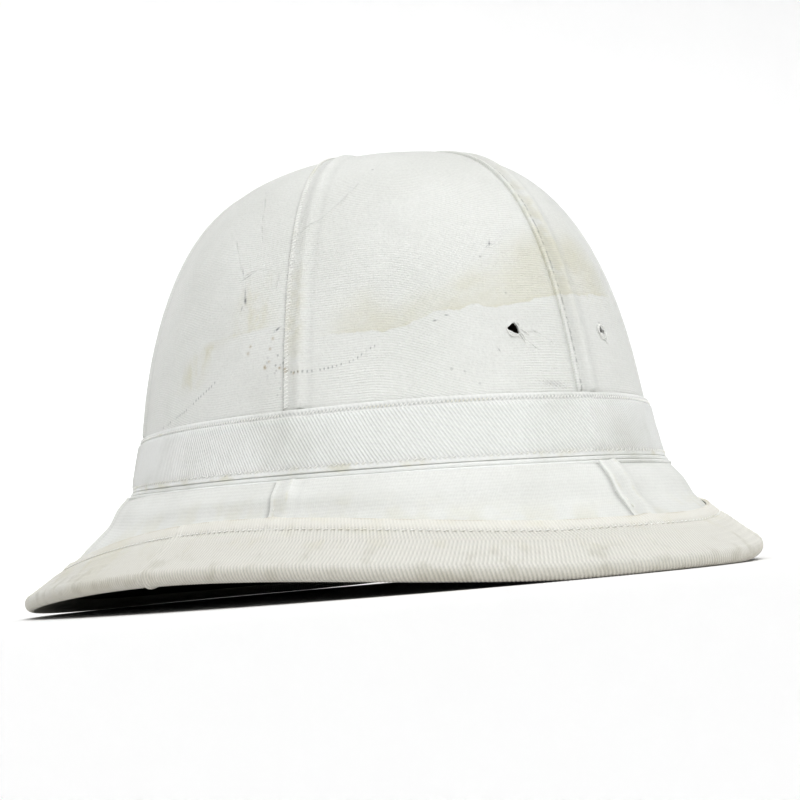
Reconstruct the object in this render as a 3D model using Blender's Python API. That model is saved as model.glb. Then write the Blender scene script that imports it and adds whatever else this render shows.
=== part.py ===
"""Cloth-covered pith helmet at its real size, standing on its own brim. Front is -Y, up is +Z."""

import math

import bmesh
import bpy
from mathutils import Matrix, Vector

# Pith crown, measured on the outside of the pith, in metres
CROWN_LENGTH = 0.2140
CROWN_WIDTH = 0.1680
CROWN_HEIGHT = 0.1175
HEIGHT_POWER = 1.91
WIDTH_POWER = 3.59
ROOT_FLARE = 0.0040
FLARE_HEIGHT = 0.0320
PITH_WALL = 0.0045
PITH_BRIM_WALL = 0.0040

# Brim, measured outward from the foot of the crown to the outside of the binding
BRIM_FRONT = 0.0335
BRIM_SIDE = 0.0290
BRIM_BACK = 0.0650
BRIM_HOLLOW = 0.25
ROOT_HEIGHT = 0.0370
FORWARD_TIP_DEG = 2.5
SIDE_LIFT = 0.0075
LIFT_SKEW = 0.60
REST_ARC_DEG = 15.0

# Cloth, leather and the gaps between the layers
GAP = 0.0003
PITH_JOINT = 0.0004
COVER_THICKNESS = 0.0010
LINING_THICKNESS = 0.0010
LAP_HEIGHT = 0.0008
LAP_WIDTH = 0.0056
LAP_SLOPE = 0.0016
LAP_FADE = 0.0030
LAP_SHARE = 0.09

# Hatband and the two folded edges below it
HATBAND_HEIGHT = 0.0235
HATBAND_THICKNESS = 0.0013
FOLD_THICKNESS = 0.0012
FOLD_FOOT = 0.0004
UPPER_FOLD_DEPTH = 0.0017
LOWER_FOLD_DEPTH = 0.0024
COVER_START = 0.0024

# Edge binding
BINDING_TOP = 0.0150
BINDING_UNDER = 0.0090
BINDING_THICKNESS = 0.0010
REST_FLAT = 0.0020
BINDING_JOINT_DEG = -78.0

# Leather sweatband
SWEATBAND_HEIGHT = 0.0320
SWEATBAND_THICKNESS = 0.0015
SWEATBAND_BEAD = 0.0024
SWEATBAND_BEAD_HEIGHT = 0.0030
SWEATBAND_LEAN = 0.0030
SWEATBAND_SPLIT = 0.0020
SWEATBAND_SPLIT_DEG = 180.0

# Two small holes through the front, one each side of the front seam
HOLE_RADIUS = 0.0015
HOLE_HEIGHT = 0.0440
HOLE_ANGLE_DEG = 13.0
HOLE_SIDES = 6

# Number of panels, columns and rows
PANELS = 6
STEPS_PER_PANEL = 6
CROWN_ROWS = 12
CURVE_SAMPLES = 240

# Worked out from the sizes above
COVER_OUT = GAP + COVER_THICKNESS
BAND_IN = COVER_OUT + GAP
PITH_EDGE_WALL = COVER_OUT
NOSE_IN = COVER_OUT + GAP
NOSE_OUT = NOSE_IN + BINDING_THICKNESS
FOLD_TOP = FOLD_FOOT + 2 * FOLD_THICKNESS + GAP
HATBAND_FOOT = FOLD_TOP + GAP
PANEL_ANGLE = 2 * math.pi / PANELS
COLUMN_ANGLE = PANEL_ANGLE / STEPS_PER_PANEL
LAP_LIMIT = LAP_SHARE * PANEL_ANGLE
TIP = math.radians(FORWARD_TIP_DEG)
CENTRE_SHIFT = (BRIM_FRONT - BRIM_BACK) / 2
NOSE_DROP = math.sqrt(NOSE_OUT ** 2 - (REST_FLAT / 2) ** 2)

# Share of the way from the brim's root to its binding where its middle row lies
MID_BRIM_SHARE = 0.70

# Fineness of the working: the step that slopes are measured over, and the limits at the tip
SLOPE_STEP = 0.001
SAMPLE_POWER = 3
TIP_SHORTFALL = 1e-7
SEAM_GAP_LIMIT = 0.5
SHARP_EDGE_DEG = 35.0
CUTTER_WALLS = 4

# Colour, roughness and metallic value of each material
MATERIALS = {
    "pith": ((0.50, 0.40, 0.27), 0.95, 0.0),
    "cover_cloth": ((0.83, 0.83, 0.79), 0.85, 0.0),
    "hatband_cloth": ((0.85, 0.85, 0.81), 0.80, 0.0),
    "binding_tape": ((0.80, 0.79, 0.72), 0.80, 0.0),
    "lining_cloth": ((0.012, 0.018, 0.014), 0.75, 0.0),
    "leather": ((0.030, 0.016, 0.010), 0.50, 0.0),
}


def clear_scene():
    """Remove every object that the new file starts with"""
    for item in list(bpy.data.objects):
        bpy.data.objects.remove(item, do_unlink=True)


def make_materials():
    """One Principled material for each entry of the table"""
    made = {}
    for name, (colour, roughness, metallic) in MATERIALS.items():
        material = bpy.data.materials.new(name)
        material.use_nodes = True
        shader = material.node_tree.nodes["Principled BSDF"]
        shader.inputs["Base Color"].default_value = (*colour, 1.0)
        shader.inputs["Roughness"].default_value = roughness
        shader.inputs["Metallic"].default_value = metallic
        made[name] = material
    return made


def dome_share(height):
    """Width of the crown at a height, as a share of its width at the foot, without the flare"""
    level = min(max(height / CROWN_HEIGHT, 0.0), 1.0)
    return (1.0 - level ** HEIGHT_POWER) ** (1.0 / WIDTH_POWER)


def half_size(height, size):
    """Half the crown's length or width at a height, with the flare towards the brim"""
    flare = ROOT_FLARE * max(0.0, 1.0 - height / FLARE_HEIGHT) ** 2
    return size / 2 * dome_share(height) + flare


def crown_face(angle, height):
    """Point on the outside of the pith crown, in the crown's own upright frame"""
    across = half_size(height, CROWN_WIDTH) * math.sin(angle)
    along = -half_size(height, CROWN_LENGTH) * math.cos(angle)
    return Vector((across, along, height))


def crown_normal(angle, height):
    """Direction straight out of the crown's face, in its upright frame"""
    step = SLOPE_STEP / 2 * CROWN_HEIGHT
    low = max(0.0, height - step)
    high = min(CROWN_HEIGHT, height + step)
    rise = crown_face(angle, high) - crown_face(angle, low)
    turn = crown_face(angle + SLOPE_STEP, height) - crown_face(angle - SLOPE_STEP, height)
    return turn.cross(rise).normalized()


def stand(point):
    """Tip an upright point forward and lift it to where it stands on the floor"""
    tipped = Matrix.Rotation(TIP, 3, "X") @ point
    return tipped + Vector((0.0, CENTRE_SHIFT, ROOT_HEIGHT))


def crown_point(angle, height, out):
    """Point at a distance outside the pith crown, or inside it if the distance is negative"""
    return stand(crown_face(angle, height) + out * crown_normal(angle, height))


def crown_tip(out):
    """Point above or below the crown's highest point"""
    return stand(Vector((0.0, 0.0, CROWN_HEIGHT + out)))


def outward(angle):
    """Level direction straight away from the foot of the crown"""
    across = math.sin(angle) / half_size(0.0, CROWN_WIDTH)
    along = -math.cos(angle) / half_size(0.0, CROWN_LENGTH)
    return Vector((across, along, 0.0)).normalized()


def brim_reach(angle):
    """Level width of the pith brim, blended round from its front, side and back widths"""
    ends = (BRIM_FRONT + BRIM_BACK) / 4
    half_side = BRIM_SIDE / 2
    lean = (BRIM_FRONT - BRIM_BACK) / 2
    reach = ends + half_side + lean * math.cos(angle) + (ends - half_side) * math.cos(2 * angle)
    return reach - NOSE_OUT


def edge_height(angle):
    """Height of the pith's edge: flat on the floor's side at front and back, lifted at the sides"""
    flat = math.sin(math.radians(REST_ARC_DEG)) ** 2
    rise = max(0.0, (math.sin(angle) ** 2 - flat) / (1.0 - flat))
    return NOSE_DROP + SIDE_LIFT * rise * (1.0 + LIFT_SKEW * math.cos(angle))


def brim_face(angle, share):
    """Point on the pith brim's upper face, from the crown's foot at 0 to the edge at 1"""
    root = stand(crown_face(angle, 0.0))
    drop = root.z - edge_height(angle)
    level = root + outward(angle) * brim_reach(angle) * share
    level.z = root.z - drop * ((1.0 + BRIM_HOLLOW) * share - BRIM_HOLLOW * share ** 2)
    return level


def brim_normal(angle, share):
    """Direction straight out of the brim's upper face"""
    turn = brim_face(angle + SLOPE_STEP, share) - brim_face(angle - SLOPE_STEP, share)
    rise = brim_face(angle, share - SLOPE_STEP) - brim_face(angle, share + SLOPE_STEP)
    return turn.cross(rise).normalized()


def brim_point(angle, share, out):
    """Point at a distance above the pith brim's upper face"""
    return brim_face(angle, share) + out * brim_normal(angle, share)


def root_point(angle, out, height=0.0):
    """Point off the bend between crown and brim, along the middle of their two directions"""
    upright = Matrix.Rotation(TIP, 3, "X") @ crown_normal(angle, 0.0)
    middle = (upright + brim_normal(angle, 0.0)).normalized()
    return stand(crown_face(angle, height)) + out * middle


def brim_wall(share):
    """Thickness of the pith brim, thinning from its root to its edge"""
    return PITH_BRIM_WALL + (PITH_EDGE_WALL - PITH_BRIM_WALL) * share


def shares_across(angle):
    """Shares of the brim's width at the cover's start, its middle and the binding's two edges"""
    reach = brim_reach(angle)
    start = COVER_START / reach
    binding = 1.0 - BINDING_TOP / reach
    under = 1.0 - BINDING_UNDER / reach
    middle = start + (binding - start) * MID_BRIM_SHARE
    return start, middle, binding, under


def curve_heights():
    """Heights above the hatband, evenly spaced along the crown's curve, without its tip"""
    span = CROWN_HEIGHT - HATBAND_HEIGHT
    shares = [(1 - i / CURVE_SAMPLES) ** SAMPLE_POWER for i in range(CURVE_SAMPLES + 1)]
    heights = [CROWN_HEIGHT - span * share for share in shares]
    lengths = [0.0]
    for low, high in zip(heights, heights[1:]):
        inward = half_size(low, CROWN_LENGTH) - half_size(high, CROWN_LENGTH)
        lengths.append(lengths[-1] + math.hypot(inward, high - low))
    rows = []
    for row in range(1, CROWN_ROWS):
        target = lengths[-1] * row / CROWN_ROWS
        nearest = min(range(len(lengths)), key=lambda i: abs(lengths[i] - target))
        rows.append(heights[nearest])
    return rows


def ring_angles():
    """Evenly spaced columns round the whole helmet"""
    return [COLUMN_ANGLE * i for i in range(PANELS * STEPS_PER_PANEL)]


def arc_angles(start, end):
    """The even columns that lie between two angles, with the two angles themselves"""
    first = math.floor(start / COLUMN_ANGLE) + 1
    last = math.ceil(end / COLUMN_ANGLE) - 1
    return [start] + [COLUMN_ANGLE * i for i in range(first, last + 1)] + [end]


def facet(points_at, angle):
    """Points at an angle, on the straight facets between the even columns on its two sides"""
    place = angle / COLUMN_ANGLE
    first = math.floor(place)
    before = points_at(first * COLUMN_ANGLE)
    after = points_at((first + 1) * COLUMN_ANGLE)
    return [low.lerp(high, place - first) for low, high in zip(before, after)]


def add_object(name, mesh_data, material):
    """Make an object of a finished bmesh, with its faces pointing out"""
    bmesh.ops.recalc_face_normals(mesh_data, faces=mesh_data.faces)
    if mesh_data.calc_volume(signed=True) < 0.0:
        bmesh.ops.reverse_faces(mesh_data, faces=mesh_data.faces)
    mesh = bpy.data.meshes.new(name)
    mesh_data.to_mesh(mesh)
    mesh_data.free()
    mesh.shade_smooth()
    mesh.set_sharp_from_angle(angle=math.radians(SHARP_EDGE_DEG))
    mesh.materials.append(material)
    item = bpy.data.objects.new(name, mesh)
    bpy.context.scene.collection.objects.link(item)
    return item


def fill_strip(mesh_data, first, second, closed=False):
    """Join two rows of vertices by triangles"""
    count = len(first)
    for i in range(count if closed else count - 1):
        j = (i + 1) % count
        mesh_data.faces.new((first[i], first[j], second[j]))
        mesh_data.faces.new((first[i], second[j], second[i]))


def make_wall(name, outer, inner, material, ring=True, tips=None):
    """Closed wall between two grids of columns, round a ring or open, with a tip if it has one"""
    mesh_data = bmesh.new()
    faces = [[[mesh_data.verts.new(p) for p in column] for column in grid] for grid in (outer, inner)]
    for grid in faces:
        pairs = list(zip(grid, grid[1:]))
        if ring:
            pairs.append((grid[-1], grid[0]))
        for left, right in pairs:
            fill_strip(mesh_data, left, right)
    outside, inside = faces
    last = [column[-1] for column in outside], [column[-1] for column in inside]
    fill_strip(mesh_data, *last, closed=ring)
    first = [column[0] for column in outside], [column[0] for column in inside]
    if tips is None:
        fill_strip(mesh_data, *first, closed=ring)
    else:
        for row, tip in zip(first, tips):
            point = mesh_data.verts.new(tip)
            for i, vertex in enumerate(row):
                mesh_data.faces.new((vertex, row[(i + 1) % len(row)], point))
    if not ring:
        fill_strip(mesh_data, outside[0], inside[0])
        fill_strip(mesh_data, outside[-1], inside[-1])
    return add_object(name, mesh_data, material)


def make_pith_crown(materials):
    """Hollow dome of pith, from its tip down to where the brim is glued on"""
    heights = curve_heights()[::-1] + [HATBAND_HEIGHT + LAP_FADE, HATBAND_HEIGHT, HATBAND_HEIGHT / 2]
    outer = []
    inner = []
    for angle in ring_angles():
        outside = [crown_point(angle, h, 0.0) for h in heights]
        inside = [crown_point(angle, h, -PITH_WALL) for h in heights]
        outer.append(outside + [root_point(angle, 0.0, PITH_JOINT)])
        inner.append(inside + [root_point(angle, -PITH_WALL, PITH_JOINT)])
    tips = (crown_tip(0.0), crown_tip(-PITH_WALL))
    return make_wall("pith_crown", outer, inner, materials["pith"], tips=tips)


def make_pith_brim(materials):
    """Ring of pith that turns down all round, thick at its root and thin at its edge"""
    outer = []
    inner = []
    for angle in ring_angles():
        outside = [root_point(angle, 0.0)]
        inside = [root_point(angle, -PITH_WALL)]
        for share in (*shares_across(angle), 1.0):
            outside.append(brim_point(angle, share, 0.0))
            inside.append(brim_point(angle, share, -brim_wall(share)))
        outer.append(outside)
        inner.append(inside)
    return make_wall("pith_brim", outer, inner, materials["pith"])


def lap_columns(seam, radius):
    """Columns of one panel with how far each is raised: a folded edge along its first seam"""
    edge = math.asin(min(SEAM_GAP_LIMIT, GAP / 2 / radius))
    ridge = min(LAP_WIDTH / radius, LAP_LIMIT)
    slope = min((LAP_WIDTH + LAP_SLOPE) / radius, LAP_LIMIT * (1.0 + LAP_SLOPE / LAP_WIDTH))
    columns = [(seam + edge, LAP_HEIGHT), (seam + ridge, LAP_HEIGHT), (seam + slope, 0.0)]
    columns += [(seam + COLUMN_ANGLE * i, 0.0) for i in range(1, STEPS_PER_PANEL)]
    columns.append((seam + PANEL_ANGLE - edge, 0.0))
    return columns


def make_crown_panel(index, materials):
    """One of the crown's cloth panels, with the raised fold of its lapped seam"""
    seam = PANEL_ANGLE * index
    tip_height = CROWN_HEIGHT * (1.0 - TIP_SHORTFALL)
    heights = [FOLD_FOOT, HATBAND_HEIGHT / 2, HATBAND_HEIGHT, HATBAND_HEIGHT + LAP_FADE]
    heights += curve_heights() + [tip_height]
    rows_out = []
    rows_in = []
    for height in heights:
        radius = half_size(height, CROWN_WIDTH)
        raised = 0.0 if height <= HATBAND_HEIGHT else 1.0
        columns = lap_columns(seam, radius)
        row_out = []
        row_in = []
        for angle, up in columns:
            out = COVER_OUT + up * raised
            row_out += facet(lambda a: [crown_point(a, height, out)], angle)
            row_in += facet(lambda a: [crown_point(a, height, GAP)], angle)
        rows_out.append(row_out)
        rows_in.append(row_in)
    name = f"crown_panel_{index + 1}"
    return make_wall(name, rows_out, rows_in, materials["cover_cloth"], ring=False)


def brim_column(angle, out, raised=0.0):
    """Points across the brim at one height above it, raised as far as its middle by a seam's fold"""
    start, middle, binding, under = shares_across(angle)
    high = [brim_point(angle, s, out + raised) for s in (start, middle)]
    return high + [brim_point(angle, s, out) for s in (binding, under, 1.0)]


def make_brim_panel(index, materials):
    """One of the brim's cloth panels, whose raised seam carries on from the crown's"""
    seam = PANEL_ANGLE * index
    radius = half_size(0.0, CROWN_WIDTH)
    outer = []
    inner = []
    for angle, up in lap_columns(seam, radius):
        outer.append(facet(lambda a: brim_column(a, COVER_OUT, up), angle))
        inner.append(facet(lambda a: brim_column(a, GAP), angle))
    name = f"brim_panel_{index + 1}"
    return make_wall(name, outer, inner, materials["cover_cloth"], ring=False)


def make_hatband(materials):
    """Broad cloth band round the foot of the crown"""
    heights = (HATBAND_FOOT, HATBAND_HEIGHT / 2, HATBAND_HEIGHT)
    band_out = BAND_IN + HATBAND_THICKNESS
    outer = [[crown_point(a, h, band_out) for h in heights] for a in ring_angles()]
    inner = [[crown_point(a, h, BAND_IN) for h in heights] for a in ring_angles()]
    return make_wall("hatband", outer, inner, materials["hatband_cloth"])


def make_fold(name, foot, depth, materials):
    """One folded cloth edge that shows below the hatband"""
    heights = (foot, foot + FOLD_THICKNESS)
    fold_out = BAND_IN + depth
    outer = [[crown_point(a, h, fold_out) for h in heights] for a in ring_angles()]
    inner = [[crown_point(a, h, BAND_IN) for h in heights] for a in ring_angles()]
    return make_wall(name, outer, inner, materials["hatband_cloth"])


def make_brim_lining(materials):
    """Dark cloth under the brim, from the head opening out to the binding"""
    outer = []
    inner = []
    for angle in ring_angles():
        start, middle, binding, under = shares_across(angle)
        end = under - GAP / brim_reach(angle)
        below = GAP + LINING_THICKNESS
        top = [root_point(angle, -PITH_WALL - GAP)]
        low = [root_point(angle, -PITH_WALL - below)]
        for share in (start, middle, binding, end):
            top.append(brim_point(angle, share, -brim_wall(share) - GAP))
            low.append(brim_point(angle, share, -brim_wall(share) - below))
        outer.append(top)
        inner.append(low)
    return make_wall("brim_lining", outer, inner, materials["lining_cloth"])


def nose_points(angle, radius, flat):
    """Section of the binding's rounded edge, from its upper side round to its lower side"""
    centre = brim_face(angle, 1.0)
    away = outward(angle)
    up = Vector((0.0, 0.0, 1.0))
    normal = brim_normal(angle, 1.0)
    top = math.atan2(normal.z, normal.dot(away))
    bottom = top - math.pi
    foot = math.asin(flat / 2 / radius)
    straight_down = -math.pi / 2
    first_down = straight_down + foot
    turns = [top / 2, 0.0, first_down / 2, first_down, straight_down - foot]
    points = [centre + radius * (math.cos(t) * away + math.sin(t) * up) for t in turns]
    return [centre + radius * normal] + points + [centre - radius * normal]


def binding_section(angle, radius):
    """One face of the folded tape, from its upper edge over the rounded nose to its lower edge"""
    binding, under = shares_across(angle)[2:]
    raised = radius - NOSE_IN
    top = COVER_OUT + GAP + raised
    low = -brim_wall(under) - GAP - raised
    above = [brim_point(angle, binding, top), brim_point(angle, under, top)]
    below = [brim_point(angle, under, low)]
    return above + nose_points(angle, radius, REST_FLAT * radius / NOSE_OUT) + below


def make_binding(name, start, end, materials):
    """One length of the ribbed tape that is folded over the brim's edge"""
    half_gap = GAP / 2 / (half_size(0.0, CROWN_WIDTH) + BRIM_SIDE)
    angles = arc_angles(start + half_gap, end - half_gap)
    outer = [facet(lambda a: binding_section(a, NOSE_OUT), angle) for angle in angles]
    inner = [facet(lambda a: binding_section(a, NOSE_IN), angle) for angle in angles]
    return make_wall(name, outer, inner, materials["binding_tape"], ring=False)


def sweatband_section(angle, inside):
    """One face of the leather, from its thicker lower edge up to its free upper edge"""
    rows = (
        (0.0, SWEATBAND_BEAD),
        (SWEATBAND_BEAD_HEIGHT, SWEATBAND_THICKNESS),
        (SWEATBAND_HEIGHT / 2, SWEATBAND_THICKNESS),
        (SWEATBAND_HEIGHT, SWEATBAND_THICKNESS),
    )
    points = []
    for height, thickness in rows:
        away = PITH_WALL + GAP + SWEATBAND_LEAN * height / SWEATBAND_HEIGHT
        points.append(crown_point(angle, height, -away - thickness * inside))
    return points


def make_sweatband(materials):
    """Leather band inside the head opening, open at the back, with a thicker lower edge"""
    split = SWEATBAND_SPLIT / 2 / half_size(0.0, CROWN_WIDTH)
    back = math.radians(SWEATBAND_SPLIT_DEG)
    angles = arc_angles(back - 2 * math.pi + split, back - split)
    outer = [facet(lambda a: sweatband_section(a, 0.0), angle) for angle in angles]
    inner = [facet(lambda a: sweatband_section(a, 1.0), angle) for angle in angles]
    return make_wall("sweatband", outer, inner, materials["leather"], ring=False)


def make_hole_cutter(name, angle):
    """Short prism that points straight through the front of the crown"""
    depth = CUTTER_WALLS * (PITH_WALL + COVER_OUT + LAP_HEIGHT)
    mesh_data = bmesh.new()
    bmesh.ops.create_cone(
        mesh_data, cap_ends=True, segments=HOLE_SIDES, radius1=HOLE_RADIUS, radius2=HOLE_RADIUS, depth=depth
    )
    mesh = bpy.data.meshes.new(name)
    mesh_data.to_mesh(mesh)
    mesh_data.free()
    cutter = bpy.data.objects.new(name, mesh)
    normal = Matrix.Rotation(TIP, 3, "X") @ crown_normal(angle, HOLE_HEIGHT)
    cutter.rotation_euler = normal.to_track_quat("Z", "Y").to_euler()
    cutter.location = crown_point(angle, HOLE_HEIGHT, 0.0)
    cutter.hide_render = True
    cutter.display_type = "WIRE"
    bpy.context.scene.collection.objects.link(cutter)
    return cutter


def cut(item, cutter):
    """Take the cutter's shape out of a piece"""
    modifier = item.modifiers.new(cutter.name, "BOOLEAN")
    modifier.operation = "DIFFERENCE"
    modifier.solver = "EXACT"
    modifier.object = cutter


def main():
    """Build every piece of the helmet"""
    clear_scene()
    materials = make_materials()
    pith_crown = make_pith_crown(materials)
    make_pith_brim(materials)
    crown_panels = [make_crown_panel(i, materials) for i in range(PANELS)]
    for i in range(PANELS):
        make_brim_panel(i, materials)
    make_hatband(materials)
    upper_foot = FOLD_FOOT + FOLD_THICKNESS + GAP
    make_fold("hatband_fold_upper", upper_foot, UPPER_FOLD_DEPTH, materials)
    make_fold("hatband_fold_lower", FOLD_FOOT, LOWER_FOLD_DEPTH, materials)
    make_brim_lining(materials)
    joint = math.radians(BINDING_JOINT_DEG)
    make_binding("edge_binding_front", joint, joint + math.pi, materials)
    make_binding("edge_binding_back", joint + math.pi, joint + 2 * math.pi, materials)
    make_sweatband(materials)
    hole_angle = math.radians(HOLE_ANGLE_DEG)
    right_hole = make_hole_cutter("right_hole_cutter", -hole_angle)
    left_hole = make_hole_cutter("left_hole_cutter", hole_angle)
    cut(crown_panels[-1], right_hole)
    cut(crown_panels[0], left_hole)
    cut(pith_crown, right_hole)
    cut(pith_crown, left_hole)


main()
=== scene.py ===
"""Looks of a cloth-covered pith helmet that stands on its own brim. Metres, front is -Y, up is +Z."""

import math

import bpy
import numpy as np
from mathutils import Matrix, Vector


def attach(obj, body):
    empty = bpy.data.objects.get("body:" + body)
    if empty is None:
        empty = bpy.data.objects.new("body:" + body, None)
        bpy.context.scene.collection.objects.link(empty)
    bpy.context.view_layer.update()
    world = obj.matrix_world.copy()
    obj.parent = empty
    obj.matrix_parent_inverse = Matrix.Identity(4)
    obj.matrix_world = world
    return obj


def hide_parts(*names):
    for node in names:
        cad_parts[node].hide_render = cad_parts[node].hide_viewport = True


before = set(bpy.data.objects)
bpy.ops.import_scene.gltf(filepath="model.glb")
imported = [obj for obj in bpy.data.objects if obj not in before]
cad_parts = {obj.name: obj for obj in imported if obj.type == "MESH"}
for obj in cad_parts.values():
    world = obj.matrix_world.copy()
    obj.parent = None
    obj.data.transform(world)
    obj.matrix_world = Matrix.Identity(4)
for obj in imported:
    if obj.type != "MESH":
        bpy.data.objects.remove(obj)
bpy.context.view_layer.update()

# Pith crown and brim, as in the solids, in metres
CROWN_LENGTH = 0.2140
CROWN_WIDTH = 0.1680
CROWN_HEIGHT = 0.1175
HEIGHT_POWER = 1.91
WIDTH_POWER = 3.59
ROOT_FLARE = 0.0040
FLARE_HEIGHT = 0.0320
PITH_WALL = 0.0045
PITH_BRIM_WALL = 0.0040
BRIM_FRONT = 0.0335
BRIM_SIDE = 0.0290
BRIM_BACK = 0.0650
BRIM_HOLLOW = 0.25
ROOT_HEIGHT = 0.0370
TIP = math.radians(2.5)
SIDE_LIFT = 0.0075
LIFT_SKEW = 0.60
REST_ARC = math.radians(15.0)

# Layers, as in the solids
GAP = 0.0003
COVER_THICKNESS = 0.0010
LINING_THICKNESS = 0.0010
HATBAND_HEIGHT = 0.0235
FOLD_FOOT = 0.0004
COVER_START = 0.0024
BINDING_TOP = 0.0150
BINDING_UNDER = 0.0090
BINDING_THICKNESS = 0.0010
REST_FLAT = 0.0020
BINDING_JOINT = math.radians(-78.0)
SWEATBAND_HEIGHT = 0.0320
SWEATBAND_LEAN = 0.0030
SWEATBAND_SPLIT = 0.0020
PANELS = 6

# Worked out from the sizes above
COVER_OUT = GAP + COVER_THICKNESS
BAND_IN = COVER_OUT + GAP
PITH_EDGE_WALL = COVER_OUT
NOSE_IN = BAND_IN
NOSE_OUT = NOSE_IN + BINDING_THICKNESS
PANEL_ANGLE = 2 * math.pi / PANELS
CENTRE_SHIFT = (BRIM_FRONT - BRIM_BACK) / 2
NOSE_DROP = math.sqrt(NOSE_OUT ** 2 - (REST_FLAT / 2) ** 2)

# Lapped seams: distances are measured across the seam from its folded edge
LAP_HEIGHT = 0.0009
FOLD_ROUND = 0.0006
RIDGE_END = 0.0062
RIDGE_FOOT = 0.0098
RIDGE_PUFF = 0.00032
RIDGE_LINE = 0.0060
RIDGE_WIDTH = 0.0011
VALLEY = 0.00032
VALLEY_LINE = 0.0029
VALLEY_WIDTH = 0.0014
STITCH_LINE = 0.0016
STITCH_WIDTH = 0.0004
STITCH_GROOVE = 0.00016
SOFT_GROOVE = 0.00010
LAP_FADE = 0.0012
LAP_UNDER = 0.0003
LAP_TUCK = 0.0003
LAP_TUCK_WIDTH = 0.0012
BRIM_COVER_START = 0.0003
BRIM_FADE = (0.0004, 0.0050)
COVE_HEIGHT = 0.0019
COVE_NEAR = 0.0036
COVE_FAR = 0.0100
LAP_COLUMNS = (
    0.0, 0.1, 0.25, 0.45, 0.7, 1.0, 1.3, 1.6, 1.9, 2.3, 2.9, 3.6, 4.4, 5.2, 6.0, 6.8, 7.6, 8.6, 9.8,
)
LAP_MOST = 0.45
LAP_UNDER_MOST = PANEL_ANGLE / 9

# Torn holes in the crown's cloth: panel, turn in degrees and height in mm of the middle, and the torn
# edge's distances from it in mm, at even steps round from the wearer's left
TORN_HOLE = (5, -13.0, 44.0, (1.5, 1.5, 1.6, 2.0, 1.5, 1.2, 1.1, 1.3, 1.8, 1.5, 1.3, 1.4, 1.6, 1.8, 2.6, 1.9))
FRAYED_HOLE = (
    0, 13.0, 44.0,
    (0.9, 0.9, 0.9, 1.1, 1.5, 1.9, 1.9, 1.5, 1.0, 0.9, 0.8, 1.0, 1.4, 1.8, 1.8, 1.2),
)
HOLES = (TORN_HOLE, FRAYED_HOLE)
HOLE_STEP = 0.00030
HOLE_REACH = 0.0039
CURL_HEIGHT = 0.00055
CURL_WIDTH = 0.0008
PITH_HOLE_SHARE = 1.70

# Grids of points: steps in metres, and counts of rows and columns
CROWN_ROW_STEP = 0.0010
CROWN_LOW_ROWS = 8
CROWN_COLUMNS = 34
BRIM_COLUMNS = 61
BRIM_ROWS = 34
HIDDEN_ROWS = 7
RING_COLUMNS = 360
LINING_ROWS = 22
PITH_COLUMNS = 180
PITH_FOOT_ROWS = (0.0006, 0.0200, 8)
PITH_ROW_GAP = 0.0020
PITH_ROWS = 70
PITH_BRIM_ROWS = (0.03, 1.0, 24)
SAMPLES = 400

# Slow waves of the cloth over the pith: height, and each sum's share with its two sines: turns round the
# helmet, wave length along it in metres, and phase
WAVE_HEIGHT = 0.00022
WAVES = (
    (0.6, (3, 0.019, 0.0), (2, -0.031, 1.3)),
    (0.4, (7, -0.026, 0.6), (5, 0.047, 0.0)),
)
BRIM_WAVE_START = 0.01

# Small steps for slopes and divisions, the angle of a sharp edge, and a millimetre in metres
SLOPE_STEP = 1e-4
TINY = 1e-12
SHARP_ANGLE = math.radians(40)
MM = 0.001


def stack(x, y, z):
    """Points from three arrays or numbers"""
    return np.stack(np.broadcast_arrays(x, y, z), axis=-1).astype(float)


def unit(vectors):
    """Vectors of length one"""
    return vectors / np.linalg.norm(vectors, axis=-1, keepdims=True)


def smooth_step(value, low, high):
    """0 below low, 1 above high, and a smooth rise between"""
    share = np.clip((value - low) / (high - low), 0.0, 1.0)
    return share * share * (3.0 - 2.0 * share)


def bell(value, centre, width):
    """1 at the centre, falling off smoothly on both sides"""
    return np.exp(-(((value - centre) / width) ** 2))


def height_at(climb):
    """Crown height at a climb from 0 at the foot to 1 at the tip"""
    return CROWN_HEIGHT * (1.0 - (1.0 - climb) ** WIDTH_POWER)


def climb_at(height):
    """Climb at a crown height"""
    return 1.0 - (1.0 - np.clip(height / CROWN_HEIGHT, 0.0, 1.0)) ** (1.0 / WIDTH_POWER)


def half_size(climb, size):
    """Half the crown's length or width at a climb, with the flare towards the brim"""
    left = np.clip((1.0 - climb) ** WIDTH_POWER, 0.0, 1.0 - TINY)
    share = (-np.expm1(HEIGHT_POWER * np.log1p(-left))) ** (1.0 / WIDTH_POWER)
    flare = ROOT_FLARE * np.maximum(0.0, 1.0 - height_at(climb) / FLARE_HEIGHT) ** 2
    return size / 2 * share + flare


def crown_face(angle, climb):
    """Point on the outside of the pith crown, in the crown's own upright frame"""
    across = half_size(climb, CROWN_WIDTH) * np.sin(angle)
    along = -half_size(climb, CROWN_LENGTH) * np.cos(angle)
    return stack(across, along, height_at(climb))


def crown_normal(angle, climb):
    """Direction straight out of the crown's face, in its upright frame"""
    low = np.maximum(climb - SLOPE_STEP, 0.0)
    high = np.minimum(climb + SLOPE_STEP, 1.0)
    rise = crown_face(angle, high) - crown_face(angle, low)
    turn = crown_face(angle + SLOPE_STEP, climb) - crown_face(angle - SLOPE_STEP, climb)
    return unit(np.cross(turn, rise))


def tip_forward(vectors):
    """Turn upright vectors forward as the whole crown is"""
    turned = np.array(Matrix.Rotation(TIP, 3, "X"))
    return vectors @ turned.T


def stand(points):
    """Tip upright points forward and lift them to where they stand on the floor"""
    return tip_forward(points) + np.array((0.0, CENTRE_SHIFT, ROOT_HEIGHT))


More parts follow.
